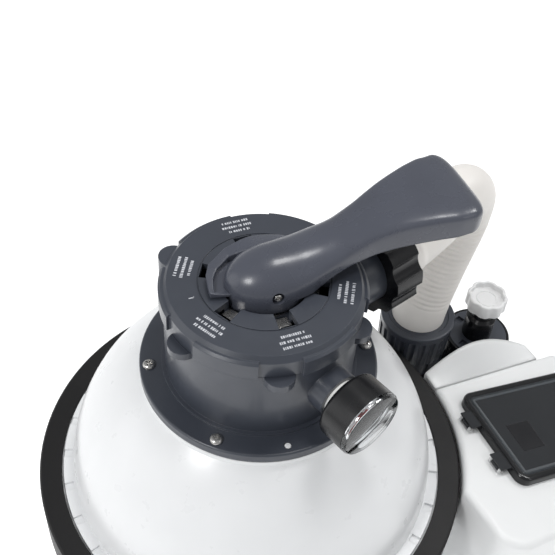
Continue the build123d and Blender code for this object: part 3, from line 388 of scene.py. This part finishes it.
def flange_screws():
    """Pan-head cross-recess screws round the valve's flange."""
    seat_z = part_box("flange_screws")[1].z - 3.1 * MM
    head = [(0, -0.6), (2.4, -0.6), (2.4, -0.05), (4.45, 0.0), (4.62, 0.25), (4.6, 0.9), (4.3, 1.7), (3.6, 2.4),
            (2.4, 2.9), (1.1, 3.08), (0, 3.1)]
    profile = [(r * MM, z * MM) for r, z in head]
    rng = random.Random(7)
    for i in range(6):
        place = Matrix.Rotation(math.radians(SCREW_AZ + 60 * i), 4, "Z") @ Matrix.Translation(
            (SCREW_CIRCLE_R, 0, seat_z)) @ Matrix.Rotation(rng.uniform(0, math.pi / 2), 4, "Z")
        verts, faces = lathe_rings(profile, 40, place)
        obj = mesh_object(f"flange_screw_{i + 1}", verts, faces, MATERIALS["stainless"], "unit")
        recalc(obj)
        cut = prism("cut", cross_outline(2.7 * MM, 0.52 * MM), 1.5 * MM, 4 * MM, place)
        subtract(obj, [cut])
        if i == 0:
            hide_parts("flange_screws")


# ---------------------------------------------------------------- hose

def nurbs_path(points, count):
    """Even points along the smooth NURBS line of a short route."""
    data = bpy.data.curves.new("route", "CURVE")
    data.dimensions = "3D"
    spline = data.splines.new("NURBS")
    spline.points.add(len(points) - 1)
    for point, co in zip(spline.points, points):
        point.co = (*co, 1.0)
    spline.order_u = 3
    spline.use_endpoint_u = True
    spline.resolution_u = 48
    obj = bpy.data.objects.new("route", data)
    mesh = bpy.data.meshes.new_from_object(obj)
    line = [v.co.copy() for v in mesh.vertices]
    bpy.data.objects.remove(obj)
    lengths = [0.0]
    for a, b in zip(line, line[1:]):
        lengths.append(lengths[-1] + (b - a).length)
    even, k = [], 0
    for i in range(count + 1):
        want = lengths[-1] * i / count
        while k < len(lengths) - 2 and lengths[k + 1] < want:
            k += 1
        span = max(lengths[k + 1] - lengths[k], 1e-9)
        even.append(line[k].lerp(line[k + 1], (want - lengths[k]) / span))
    return even, lengths[-1]


def tube_rings(path, radius_at, sides):
    """Closed rings of the given radii set square to the path, without twist."""
    rings = []
    tangent = (path[1] - path[0]).normalized()
    side = tangent.orthogonal().normalized()
    for i, point in enumerate(path):
        ahead = path[min(i + 1, len(path) - 1)] - path[max(i - 1, 0)]
        new_tangent = ahead.normalized()
        side = (tangent.rotation_difference(new_tangent) @ side)
        side = (side - new_tangent * side.dot(new_tangent)).normalized()
        tangent = new_tangent
        other = tangent.cross(side)
        r = radius_at(i)
        angles = [2 * math.pi * k / sides for k in range(sides)]
        rings.append([point + (side * math.cos(a) + other * math.sin(a)) * r for a in angles])
    return rings


PORT_ANGLE = math.radians(PUMP_PORT_AZ)
OUTLET_ANGLE = math.atan2(OUTLET.y, OUTLET.x)
HOSE_BEND = polar(0.245, math.degrees(PORT_ANGLE + (OUTLET_ANGLE - PORT_ANGLE) * 0.7), 0.562)
HOSE_ROUTE = [polar(0.1185, PUMP_PORT_AZ, PUMP_PORT_Z), polar(0.152, PUMP_PORT_AZ, PUMP_PORT_Z), HOSE_BEND,
              Vector((0.1995, 0.0547, 0.421)), OUTLET]


def smooth_step(x, low, high):
    t = min(1.0, max(0.0, (x - low) / (high - low)))
    return t * t * (3 - 2 * t)


def interconnect_hose():
    """Moulded hose: smooth cuffs and elbow, corrugated where it leans up from the pump."""
    count = 520
    path, length = nurbs_path(HOSE_ROUTE, count)
    pitch = 5.2 * MM

    def radius_at(i):
        from_pump = length * (1 - i / count)
        ribbed = smooth_step(from_pump, 0.026, 0.031) * (1 - smooth_step(from_pump, 0.118, 0.132))
        phase = math.cos(2 * math.pi * from_pump / pitch)
        cuff = 24.3 * (1 - smooth_step(from_pump, 0.024, 0.030)) + 23.6 * smooth_step(from_pump, 0.024, 0.030)
        far = 0.8 * smooth_step(from_pump, length - 0.028, length - 0.022)
        return (cuff + far + 0.62 * ribbed * phase) * MM

    sides = 72
    outer = tube_rings(path, radius_at, sides)
    inner = tube_rings(path, lambda i: 20.0 * MM, sides)
    obj = closed_loop("interconnect_hose_ribbed", outer + inner[::-1], MATERIALS["white_hose"], "unit",
                      50)
    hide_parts("interconnect_hose")


def port_sleeve():
    """Black sleeve between the port that the hose joins and its union nut."""
    outward = polar(1.0, PUMP_PORT_AZ, 0)
    start = min(v.co.dot(outward) for v in NODES["port_union_nut"].data.vertices) / MM
    place = (Matrix.Rotation(math.radians(PUMP_PORT_AZ), 4, "Z") @ Matrix.Translation((0, 0, PUMP_PORT_Z))
             @ Matrix.Rotation(math.pi / 2, 4, "Y"))
    section = [(22.4, 60.0), (23.5, 60.0), (23.5, start - 5.4), (22.9, start - 4.8), (22.9, start - 3.6),
               (23.7, start - 3.0), (23.7, start - 0.6), (22.4, start - 0.6)]
    rings = []
    for i in range(96):
        a = 2 * math.pi * i / 96
        rings.append([place @ (Vector((r * math.cos(a), r * math.sin(a), z)) * MM) for r, z in section])
    closed_loop("port_sleeve", rings, MATERIALS["black_gloss"], "unit", 30)


def union_seat():
    """Collar of the hose that fills the mouth of the pump's union nut."""
    nut = NODES["outlet_union_nut"]
    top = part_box("outlet_union_nut")[1].z
    rim = [v.co for v in nut.data.vertices if v.co.z > top - 1.5 * MM]
    mouth = min(math.hypot(v.x - OUTLET.x, v.y - OUTLET.y) for v in rim) / MM
    height = top / MM
    section = [(23.4, height - 5.0), (mouth - 0.25, height - 5.0), (mouth - 0.25, height - 0.7),
               (mouth - 0.7, height - 0.3), (23.4, height - 0.3)]
    rings = []
    for i in range(96):
        a = 2 * math.pi * i / 96
        rings.append([Vector((OUTLET.x + r * MM * math.cos(a), OUTLET.y + r * MM * math.sin(a), z * MM))
                      for r, z in section])
    closed_loop("hose_collar", rings, MATERIALS["slate_plastic"], "unit", 30)


# ---------------------------------------------------------------- handle

# Stations along the handle in millimetres: distance from the axis, half width, top, underside, and the
# shoulder's share of the height.
HANDLE = [
    (-29.0, 0.0, 6.0, -6.0, 0.50),
    (-28.2, 6.2, 9.2, -9.0, 0.50),
    (-25.6, 12.2, 13.4, -9.6, 0.46),
    (-20.6, 17.8, 17.8, -9.8, 0.42),
    (-13.6, 22.2, 21.6, -9.8, 0.38),
    (-5.0, 25.0, 24.4, -9.8, 0.36),
    (3.0, 26.0, 25.6, -9.8, 0.36),
    (12.0, 25.6, 26.0, -8.0, 0.38),
    (22.0, 24.0, 26.2, -4.0, 0.40),
    (33.0, 21.6, 27.4, 2.4, 0.42),
    (44.0, 19.8, 29.8, 8.0, 0.44),
    (56.0, 18.6, 33.4, 12.4, 0.46),
    (68.0, 18.8, 37.6, 16.0, 0.48),
    (80.0, 20.6, 41.4, 19.4, 0.52),
    (92.0, 23.4, 44.8, 22.4, 0.56),
    (104.0, 26.6, 47.4, 24.8, 0.60),
    (116.0, 29.6, 49.4, 26.8, 0.62),
    (127.0, 31.6, 50.2, 27.8, 0.62),
    (136.0, 31.2, 49.9, 28.2, 0.60),
    (142.0, 28.6, 48.4, 28.2, 0.58),
    (146.4, 23.4, 45.8, 28.0, 0.54),
    (149.2, 15.4, 42.4, 27.9, 0.50),
    (150.4, 7.2, 39.6, 27.8, 0.46),
]


def spline_value(table, x, column):
    """Smooth value between stations, by a monotone cubic."""
    xs = [row[0] for row in table]
    ys = [row[column] for row in table]
    k = max(i for i in range(len(xs) - 1) if xs[i] <= x or i == 0)
    slopes = [(ys[i + 1] - ys[i]) / (xs[i + 1] - xs[i]) for i in range(len(xs) - 1)]

    def tangent(i):
        if i == 0:
            return slopes[0]
        if i == len(xs) - 1:
            return slopes[-1]
        a, b = slopes[i - 1], slopes[i]
        return 0.0 if a * b <= 0 else 2 * a * b / (a + b)

    h = xs[k + 1] - xs[k]
    t = (x - xs[k]) / h
    start = (1 + 2 * t) * (1 - t) ** 2 * ys[k] + t * (1 - t) ** 2 * h * tangent(k)
    return start + t * t * (3 - 2 * t) * ys[k + 1] + t * t * (t - 1) * h * tangent(k + 1)


def handle_ring(x, shrink, sides=72):
    """Cross-section of the handle: upright walls, a crown above the shoulder that flattens along the paddle."""
    half = max(0.4, spline_value(HANDLE, x, 1) - shrink)
    fuller = 4.0 * smooth_step(x, 44, 94) + 3.4 * smooth_step(x, 128, 144) * (1 - smooth_step(x, 146, 150.4))
    far_half = max(0.3, half - 3.4 * (1 - smooth_step(x, 8, 40)) + fuller)
    top = spline_value(HANDLE, x, 2) - shrink
    low = spline_value(HANDLE, x, 3)
    shoulder = low + spline_value(HANDLE, x, 4) * (top - low)
    power = 2.0 / (2.0 + 3.0 * smooth_step(x, 44, 100))
    ring = []
    for k in range(sides):
        a = 2 * math.pi * k / sides
        c, n = math.cos(a), math.sin(a)
        if n >= 0:
            y = (far_half if c > 0 else half) * math.copysign(abs(c) ** power, c)
            z = shoulder + (top - shoulder) * n ** power
        else:
            y = (far_half if c > 0 else half) * math.copysign(abs(c) ** 0.28, c)
            z = shoulder - (shoulder - low) * abs(n) ** 0.28
        ring.append(Vector((x, y, z)) * MM)
    return ring


def station_positions(start, end, step):
    count = int(round((end - start) / step))
    return [start + (end - start) * i / count for i in range(count + 1)]


def handle_place():
    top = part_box("valve_cover")[1].z
    return Matrix.Rotation(math.radians(HANDLE_AZ), 4, "Z") @ Matrix.Translation((0, 0, top))


# Pointer wall in millimetres: outer corner, inner corner, outer top and inner top.
WING_BASE = 1.6
WING = [
    (27.0, 16.0, 21.0, 4.0, 17.0, 21.0),
    (19.0, 20.5, 14.0, 6.0, 18.0, 22.0),
    (12.0, 24.0, 9.0, 8.0, 17.5, 22.0),
    (5.0, 26.4, 3.0, 10.0, 16.5, 21.0),
    (-2.0, 27.6, -3.0, 13.0, 16.4, 19.0),
    (-8.0, 28.6, -9.0, 18.0, 14.0, 13.4),
    (-12.4, 29.2, -12.8, 20.6, 11.4, 9.8),
    (-18.9, 29.2, -18.2, 21.0, 8.6, 8.0),
    (-34.0, 18.4, -29.6, 13.2, 8.0, 7.0),
    (-38.6, 9.6, -34.4, 6.0, 7.8, 6.6),
    (-40.4, -1.0, -36.4, -1.4, 6.6, 5.6),
    (-40.6, -6.0, -36.8, -4.4, 5.8, 4.8),
    (-33.0, -8.0, -31.4, -4.2, 4.4, 3.8),
    (-24.0, -9.6, -23.0, -5.2, 3.6, 3.2),
]


def wing_wall():
    """Thick kinked wall that wraps the handle's boss on its far side and points at a station."""
    rings = []
    for ox, oy, ix, iy, high, low in WING:
        rings.append([Vector((ox, oy, WING_BASE)), Vector((ox, oy, high)), Vector((ix, iy, low)),
                      Vector((ix, iy, WING_BASE))])
    return [[v * MM for v in ring] for ring in rings]


def valve_handle():
    """Lever handle of the valve, with its hollow paddle and its slot for the stem."""
    place = handle_place()
    rings = [handle_ring(x, 0.0) for x in station_positions(HANDLE[0][0], HANDLE[-1][0], 1.5)]
    verts, faces = bridge_rings(rings)
    obj = mesh_object("valve_handle", [place @ v for v in verts], faces, MATERIALS["slate_gloss"], "handle")
    recalc(obj)
    hollow_rings = []
    for x in station_positions(46, 145, 3.0):
        ring = handle_ring(x, 3.2, 40)
        low = spline_value(HANDLE, x, 3) * MM
        hollow_rings.append([Vector((v.x, v.y, v.z if v.z > low + 2 * MM else v.z - 6 * MM)) for v in ring])
    verts, faces = bridge_rings(hollow_rings)
    hollow = loose_mesh("hollow", [place @ v for v in verts], faces)
    socket = prism("socket", circle_outline(9.2, 32), -14 * MM, 16 * MM, place)
    slot_corners = [(x * MM, y * MM) for x, y in ((-13, -8.8), (13, -8.8), (13, 8.8), (-13, 8.8))]
    slot = prism("slot", slot_corners, -14 * MM, 15.9 * MM, place)
    cutters = [hollow, socket, slot]
    for side in (-1, 1):
        turn = Matrix.Translation((0, side * 30 * MM, SPINDLE_PIN_Z)) @ Matrix.Rotation(math.pi / 2, 4, "X")
        cutters.append(prism("recess", circle_outline(4.3, 32), -8.2 * MM, 8.2 * MM, place @ turn))
    below = [(-60 * MM, -60 * MM), (34 * MM, -60 * MM), (34 * MM, 60 * MM), (-60 * MM, 60 * MM)]
    relief = prism("relief", below, -30 * MM, 1.5 * MM, place)
    core = prism("core", circle_outline(28.0, 64), -40 * MM, 20 * MM, place)
    subtract(relief, [core])
    cutters.append(relief)
    subtract(obj, cutters, 40)
    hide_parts("handle")
    verts, faces = bridge_rings(wing_wall())
    wing = mesh_object("handle_pointer", [place @ v for v in verts], faces, MATERIALS["slate_gloss"], "handle")
    recalc(wing)
    soften(wing, 0.9 * MM, 4, 20)
    floor_outline = [((ox + ix) / 2 * MM, (oy + iy) / 2 * MM) for ox, oy, ix, iy, _, _ in WING] + [(0, 0)]
    floor = prism("handle_pointer_floor", floor_outline, WING_BASE * MM, 3.0 * MM, place)
    floor.data.materials.append(MATERIALS["slate_gloss"])
    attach(floor, "handle")


def stem_pin():
    """Cross pin that holds the handle on its stem, with a socket in each end."""
    turn = Matrix.Translation((0, 0, SPINDLE_PIN_Z)) @ Matrix.Rotation(math.pi / 2, 4, "X")
    half = [(0, 23.4), (1.2, 23.4), (1.35, 24.5), (2.2, 24.8), (2.8, 24.2)]
    outline = [(r, -z) for r, z in half] + [(r, z) for r, z in half[::-1]]
    verts, faces = lathe_rings([(r * MM, z * MM) for r, z in outline], 32, handle_place() @ turn)
    obj = mesh_object("stem_pin", verts, faces, MATERIALS["stainless"], "rotor")
    recalc(obj)
    shade(obj, 30)
    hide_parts("handle_pin")


def soften(obj, width, segments, angle=28.0):
    """Bevels the sharp edges of a mesh for good."""
    mod = obj.modifiers.new("soften", "BEVEL")
    mod.width = width
    mod.segments = segments
    mod.limit_method = "ANGLE"
    mod.angle_limit = math.radians(angle)
    mod.harden_normals = False
    graph = bpy.context.evaluated_depsgraph_get()
    mesh = bpy.data.meshes.new_from_object(obj.evaluated_get(graph))
    obj.modifiers.clear()
    obj.data = mesh
    shade(obj, 40)


# ---------------------------------------------------------------- gauge

def gauge_place():
    """Frame of the gauge: its Z runs outwards, its X straight down and its Y to the right facing the dial."""
    low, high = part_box("gauge_dial")
    centre_z = (low.z + high.z) / 2
    return (Matrix.Rotation(math.radians(GAUGE_AZ), 4, "Z") @ Matrix.Translation((0, 0, centre_z))
            @ Matrix.Rotation(math.pi / 2, 4, "Y"))


DIAL_FACE = 0.09972


def dial_point(radius, clock, height=0.0):
    """Point on the dial at this angle, clockwise from the top in degrees."""
    a = math.radians(clock)
    return Vector((-radius * math.cos(a), radius * math.sin(a), DIAL_FACE + height))


def dial_arc(name, inner, outer, start, end, look, height):
    place = gauge_place()
    steps = max(6, int(abs(end - start) / 3))
    rings = []
    for i in range(steps + 1):
        clock = start + (end - start) * i / steps
        rings.append([place @ dial_point(r, clock, h) for r, h in
                      ((inner, 0), (outer, 0), (outer, height), (inner, height))])
    verts, faces = bridge_rings(rings)
    obj = mesh_object(name, verts, faces, look, "unit", smooth=False)
    recalc(obj)


def dial_ticks():
    """Scale lines of the dial, long ones at every fifth place."""
    place = gauge_place()
    verts, faces = [], []
    for i in range(31):
        clock = -135 + 9 * i
        inner = 0.0166 if i % 5 == 0 else 0.0182
        half = 0.00042 if i % 5 == 0 else 0.00022
        a = place @ dial_point(inner, clock)
        b = place @ dial_point(0.0200, clock)
        top = place.to_3x3() @ Vector((0, 0, 0.00012))
        side = (b - a).cross(top).normalized() * half
        start = len(verts)
        for up in (Vector(), top):
            verts.extend((a - side + up, b - side + up, b + side + up, a + side + up))
        for quad in BOX_FACES:
            faces.append(tuple(start + q for q in quad))
    obj = mesh_object("dial_ticks", verts, faces, MATERIALS["print_black"], "unit",
                      smooth=False)
    recalc(obj)


def dial_numbers():
    """Plain numbers of the scale, one at each long line."""
    place = gauge_place()
    for i in range(7):
        curve = bpy.data.curves.new(f"dial_number_{i}", "FONT")
        curve.body = str(i * 10)
        curve.size = 0.0042
        curve.align_x = "CENTER"
        curve.align_y = "CENTER"
        curve.extrude = 0.00005
        text = bpy.data.objects.new(f"dial_number_{i}", curve)
        clock = -135 + 45 * i
        upright = Matrix.Translation(dial_point(0.0132, clock, 0.0001)) @ Matrix.Rotation(math.pi / 2, 4, "Z")
        mesh = bpy.data.meshes.new_from_object(text)
        bpy.data.objects.remove(text)
        mesh.transform(place @ upright)
        mesh.materials.clear()
        mesh.materials.append(MATERIALS["print_black"])
        obj = bpy.data.objects.new(f"dial_number_{i}", mesh)
        bpy.context.scene.collection.objects.link(obj)
        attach(obj, "unit")


def gauge_lens():
    """Clear cap of the gauge: stepped rim, flat window and a hollow behind it."""
    place = gauge_place()
    back = gauge_reach("gauge_case")
    outline = [(0, 2.4), (20.6, 2.4), (21.4, 2.0), (21.8, 0.9), (21.9, -1.2), (22.85, -1.2), (22.95, 0.02),
               (24.75, 0.03), (24.95, 0.3), (24.95, 1.6), (24.5, 2.0), (24.35, 2.9), (23.9, 3.6), (23.0, 4.05),
               (0, 4.15)]
    profile = [(r * MM, back + z * MM) for r, z in outline]
    verts, faces = lathe_rings(profile, 96, place)
    obj = mesh_object("gauge_window", verts, faces, MATERIALS["clear_lens"], "unit")
    recalc(obj)
    shade(obj, 30)
    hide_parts("gauge_lens")


def gauge_reach(node):
    """Furthest reach of a node along the gauge's axis."""
    outward = polar(1.0, GAUGE_AZ, 0)
    return max(v.co.dot(outward) for v in NODES[node].data.vertices)


def gauge_face():
    dial_arc("dial_arc_green", 0.0203, 0.0222, -128, -38, MATERIALS["dial_green"], 0.00015)
    dial_arc("dial_arc_yellow", 0.0203, 0.0222, -37, 45, MATERIALS["dial_yellow"], 0.00015)
    dial_arc("dial_arc_red", 0.0203, 0.0222, 46, 132, MATERIALS["dial_red"], 0.00015)
    dial_ticks()
    dial_numbers()
    gauge_lens()


# ---------------------------------------------------------------- timer cover

def deck_place():
    """Frame of the timer cover: the sloping deck, turned a little about the cover's back corner."""
    deck = Matrix.Translation((0.172, 0, 0.390)) @ Matrix.Rotation(math.radians(10.5), 4, "Y")
    corner = Matrix.Translation((0.013, -0.035, 0))
    return deck @ corner @ Matrix.Rotation(math.radians(-3.8), 4, "Z") @ corner.inverted()


def rounded_loop(x0, x1, y0, y1, radius, steps=10):
    """Corners of a rounded rectangle, with the outward direction at each."""
    loop = []
    for cx, cy, start in ((x1 - radius, y1 - radius, 0), (x0 + radius, y1 - radius, 90),
                          (x0 + radius, y0 + radius, 180), (x1 - radius, y0 + radius, 270)):
        for i in range(steps + 1):
            a = math.radians(start + 90 * i / steps)
            loop.append((cx + radius * math.cos(a), cy + radius * math.sin(a), math.cos(a), math.sin(a)))
    return loop


def timer_cover_rim():
    """Thick rounded bead round the smoked cover."""
    place = deck_place()
    section = [(0.15, 0.5), (0.35, 6.4), (-0.1, 7.9), (-1.2, 8.6), (-3.2, 8.7), (-4.6, 8.3), (-5.4, 7.9),
               (-5.4, 7.6), (-2.2, 7.0), (-2.0, 0.5)]
    rings = []
    for x, y, nx, ny in rounded_loop(*COVER_PLAN):
        rings.append([place @ (Vector((x + nx * out, y + ny * out, z)) * MM) for out, z in section])
    closed_loop("timer_cover_rim", rings, MATERIALS["black_gloss"], "timer_cover", 50)


def timer_cover_sheen():
    """Raised border inside the bead, coloured lighter than the smoked cover as a painted sheen, and the
    display's dark outline that shows through the smoked cover.
    """
    place = deck_place()
    rings = []
    for x, y, nx, ny in rounded_loop(*COVER_PLAN):
        rings.append([place @ (Vector((x - nx * inset, y - ny * inset, z)) * MM) for inset, z in
                      ((5.6, 7.9), (5.6, 8.12), (9.6, 8.06), (10.2, 7.9))])
    # Painted sheen: the border's lighter smoke stands in for light reflected off the smoked cover.
    closed_loop("timer_cover_border", rings, MATERIALS["smoke_light"], "timer_cover", None)
    corners = ((34.2, -76.2), (58.6, -76.2), (57.2, -104.0), (34.0, -104.0))
    outline = [(x * MM, y * MM) for x, y in corners]
    window = prism("timer_cover_window", outline, 7.8 * MM, 8.12 * MM, place)
    window.data.materials.append(MATERIALS["display_dark"])
    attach(window, "timer_cover")


# ---------------------------------------------------------------- vent cap

def vent_cap_lobed():
    """Eight-lobed cap of the vent, with a deep lobed recess in its top."""
    low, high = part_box("vent_cap")
    centre = Vector(((low.x + high.x) / 2, (low.y + high.y) / 2, low.z))
    depth = (high.z - low.z) / MM
    neck = 10.6
    section = [(neck, 7.9, 0.0), (neck, 0.0, 0.0), (18.2, 0.0, 1.0), (18.9, 0.7, 1.0), (18.9, depth - 1.4, 1.0),
               (18.4, depth - 0.4, 1.0), (17.6, depth, 1.0), (16.4, depth, 1.0), (15.7, depth - 0.5, 1.0),
               (15.3, depth - 5.2, 0.9), (13.6, depth - 5.5, 0.5), (10.4, depth - 5.5, 0.0),
               (9.8, depth - 4.7, 0.0),
               (8.6, depth - 4.6, 0.0), (8.0, depth - 5.3, 0.0), (0.4, depth - 5.4, 0.0)]
    steps = 144
    verts = [centre + Vector((0, 0, 7.9 * MM))]
    for radius, z, lobed in section:
        for i in range(steps):
            a = 2 * math.pi * i / steps
            bite = 1.5 * lobed * (0.5 - 0.5 * math.cos(8 * a)) ** 2
            r = (radius - bite) * MM
            verts.append(centre + Vector((r * math.cos(a), r * math.sin(a), z * MM)))
    faces = [tuple([0, 1 + (i + 1) % steps, 1 + i]) for i in range(steps)]
    for row in range(len(section) - 1):
        for i in range(steps):
            a, b, k = 1 + row * steps, 1 + (row + 1) * steps, (i + 1) % steps
            faces.append((a + i, a + k, b + k, b + i))
    last = 1 + (len(section) - 1) * steps
    faces.append(tuple(last + i for i in range(steps)))
    obj = mesh_object("vent_cap_lobed", verts, faces, MATERIALS["white_cap"], "vent_cap")
    recalc(obj)
    shade(obj, 40)
    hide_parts("vent_cap")


# ---------------------------------------------------------------- small parts of the valve

def notch_ramps():
    """Bright sloping floor of each pocket that the pointer drops into."""
    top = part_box("valve_cover")[1].z
    verts, faces = [], []
    for station in range(6):
        turn = Matrix.Rotation(math.radians(STATION_AZ + 60 * station), 4, "Z")
        start = len(verts)
        for reach, half, z in ((29.6, 4.6, -7.6), (37.6, 5.4, -7.2)):
            for side, drop in ((-1, 0), (1, 0), (1, -0.5), (-1, -0.5)):
                verts.append(turn @ Vector((reach * MM, side * half * MM, top + (z + drop) * MM)))
        for quad in BOX_FACES:
            faces.append(tuple(start + q for q in quad))
    obj = mesh_object("notch_ramps", verts, faces, MATERIALS["stainless"], "unit", smooth=False)
    recalc(obj)


def neck_peg():
    """White locating peg of the tank's neck, showing in the flange's spare hole."""
    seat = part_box("flange_screws")[1].z - 3.1 * MM
    place = Matrix.Rotation(math.radians(SPARE_HOLE_AZ), 4, "Z") @ Matrix.Translation((SCREW_CIRCLE_R, 0, seat))
    profile = [(r * MM, z * MM) for r, z in ((0, -6.0), (2.45, -6.0), (2.45, -0.7), (2.1, -0.25), (0, -0.1))]
    verts, faces = lathe_rings(profile, 32, place)
    obj = mesh_object("neck_peg", verts, faces, MATERIALS["white_tank"], "unit")
    recalc(obj)
    shade(obj, 40)


# ---------------------------------------------------------------- printed marks

def bar(verts, faces, centre, along, across, length, width, low, high):
    """One flat printed dash, added to a shared list."""
    start = len(verts)
    for z in (low, high):
        for a, b in ((-1, -1), (1, -1), (1, 1), (-1, 1)):
            point = centre + along * (a * length / 2) + across * (b * width / 2)
            verts.append(Vector((point.x, point.y, z)))
    for quad in BOX_FACES:
        faces.append(tuple(start + q for q in quad))


ARROW_AZ = 173.8


def ring_marks():
    """Three rows of plain dashes at each station of the valve's ring, in place of its printed words."""
    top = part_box("valve_cover")[1].z
    low, high = top - 0.02 * MM, top + 0.05 * MM
    rng = random.Random(11)
    verts, faces = [], []
    rows = ((60.2, 21.0), (55.6, 23.0), (51.0, 17.0))
    for station in range(6):
        azimuth = STATION_AZ + 60 * station
        outward = polar(1.0, azimuth, 0)
        along = Vector((-outward.y, outward.x, 0))
        for reach, width in rows:
            width *= rng.uniform(0.88, 1.08)
            at = -width / 2
            while at < width / 2:
                size = rng.uniform(0.55, 1.5)
                if at + size > width / 2:
                    break
                centre = outward * (reach * MM) + along * ((at + size / 2) * MM)
                height = 2.3 * MM * rng.uniform(0.75, 1.0)
                bar(verts, faces, centre, along, outward, size * MM, height, low, high)
                at += size + rng.choice((0.45, 0.45, 0.5, 1.3))
    arrow = polar(0.0520, ARROW_AZ, 0)
    outward = polar(1.0, ARROW_AZ, 0)
    along = Vector((-outward.y, outward.x, 0))
    bar(verts, faces, arrow, outward, along, 3.2 * MM, 0.8 * MM, low, high)
    slant = (outward + along).normalized()
    bar(verts, faces, arrow - outward * 1.6 * MM, slant, along, 1.8 * MM, 0.7 * MM, low, high)
    obj = mesh_object("ring_marks", verts, faces, MATERIALS["print_white"], "unit", smooth=False)
    recalc(obj)


# ---------------------------------------------------------------- camera, floor and lights

def turned_to_unit(v, alpha):
    c, s = math.cos(alpha), math.sin(alpha)
    return Vector((v.x * c + v.y * s, -v.x * s + v.y * c, v.z))


# Camera's turn, downward tilt and lean in radians, and the turn from its frame to the unit's frame.
CAMERA_TURN = (0.01974, 0.80240, 0.08641, math.radians(30.6))
CAMERA_AT = (-0.2200, -0.3720, 1.0403)


def make_camera():
    yaw, pitch, roll, alpha = CAMERA_TURN
    forward = Vector((math.sin(yaw) * math.cos(pitch), math.cos(yaw) * math.cos(pitch), -math.sin(pitch)))
    right = forward.cross(Vector((0, 0, 1))).normalized()
    up = right.cross(forward)
    right_rolled = right * math.cos(roll) + up * math.sin(roll)
    up_rolled = up * math.cos(roll) - right * math.sin(roll)
    axes = [turned_to_unit(v, alpha) for v in (right_rolled, up_rolled, -forward)]
    data = bpy.data.cameras.new("camera")
    data.sensor_width = 36.0
    data.lens = 60.104
    data.clip_start = 0.05
    obj = bpy.data.objects.new("camera", data)
    matrix = Matrix.Identity(4)
    for i, axis in enumerate(axes):
        for k in range(3):
            matrix[k][i] = axis[k]
    matrix.translation = Vector(CAMERA_AT)
    obj.matrix_world = matrix
    bpy.context.scene.collection.objects.link(obj)
    bpy.context.scene.camera = obj


def make_floor():
    mesh = bpy.data.meshes.new("floor")
    half = 6.0
    corners = [(-half, -half, 0), (half, -half, 0), (half, half, 0), (-half, half, 0)]
    mesh.from_pydata(corners, [], [(0, 1, 2, 3)])
    floor = bpy.data.objects.new("floor", mesh)
    bpy.context.scene.collection.objects.link(floor)
    g = Graph("floor_look")
    white = srgb(250, 250, 250)
    g.link(g.mix(g.noise(3.0), scaled(white, 0.985), white), g.shader.inputs["Base Color"])
    g.shader.inputs["Roughness"].default_value = 0.7
    g.shader.inputs["Emission Color"].default_value = (1.0, 1.0, 1.0, 1.0)
    g.shader.inputs["Emission Strength"].default_value = 0.55
    mesh.materials.append(g.material)


def area_light(name, location, target, size, power):
    data = bpy.data.lights.new(name, "AREA")
    data.shape = "DISK"
    data.size = size
    data.energy = power
    obj = bpy.data.objects.new(name, data)
    obj.location = location
    obj.rotation_euler = (Vector(target) - Vector(location)).to_track_quat("-Z", "Y").to_euler()
    bpy.context.scene.collection.objects.link(obj)
    return data


def light_from(name, azimuth, elevation, distance, size, power):
    """Disc light aimed at the valve from this direction."""
    a, e = math.radians(azimuth), math.radians(elevation)
    centre = Vector((0.04, 0.0, 0.56))
    away = Vector((math.cos(a) * math.cos(e), math.sin(a) * math.cos(e), math.sin(e)))
    area_light(name, centre + away * distance, centre, size, power)


def make_lights():
    scene = bpy.context.scene
    scene.view_settings.view_transform = "Standard"
    world = bpy.data.worlds.new("studio")
    world.use_nodes = True
    world.node_tree.nodes["Background"].inputs["Color"].default_value = (0.97, 0.985, 1.0, 1.0)
    world.node_tree.nodes["Background"].inputs["Strength"].default_value = 0.42
    scene.world = world
    light_from("key", -164, 42, 1.6, 0.42, 9.5)
    light_from("top", 18, 78, 1.5, 0.34, 5.5)
    light_from("back", 5, 46, 1.7, 0.34, 5.5)
    light_from("left_fill", 158, 14, 2.0, 1.5, 5.0)
    front = area_light("front_right", (0.85, -0.95, 1.35), (0.30, -0.10, 0.40), 0.5, 0.12)
    front.spread = math.radians(40)


make_camera()
make_floor()
make_lights()
dress_cad()
flange_screws()
interconnect_hose()
port_sleeve()
union_seat()
valve_handle()
stem_pin()
gauge_face()
timer_cover_rim()
timer_cover_sheen()
vent_cap_lobed()
notch_ramps()
neck_peg()
ring_marks()
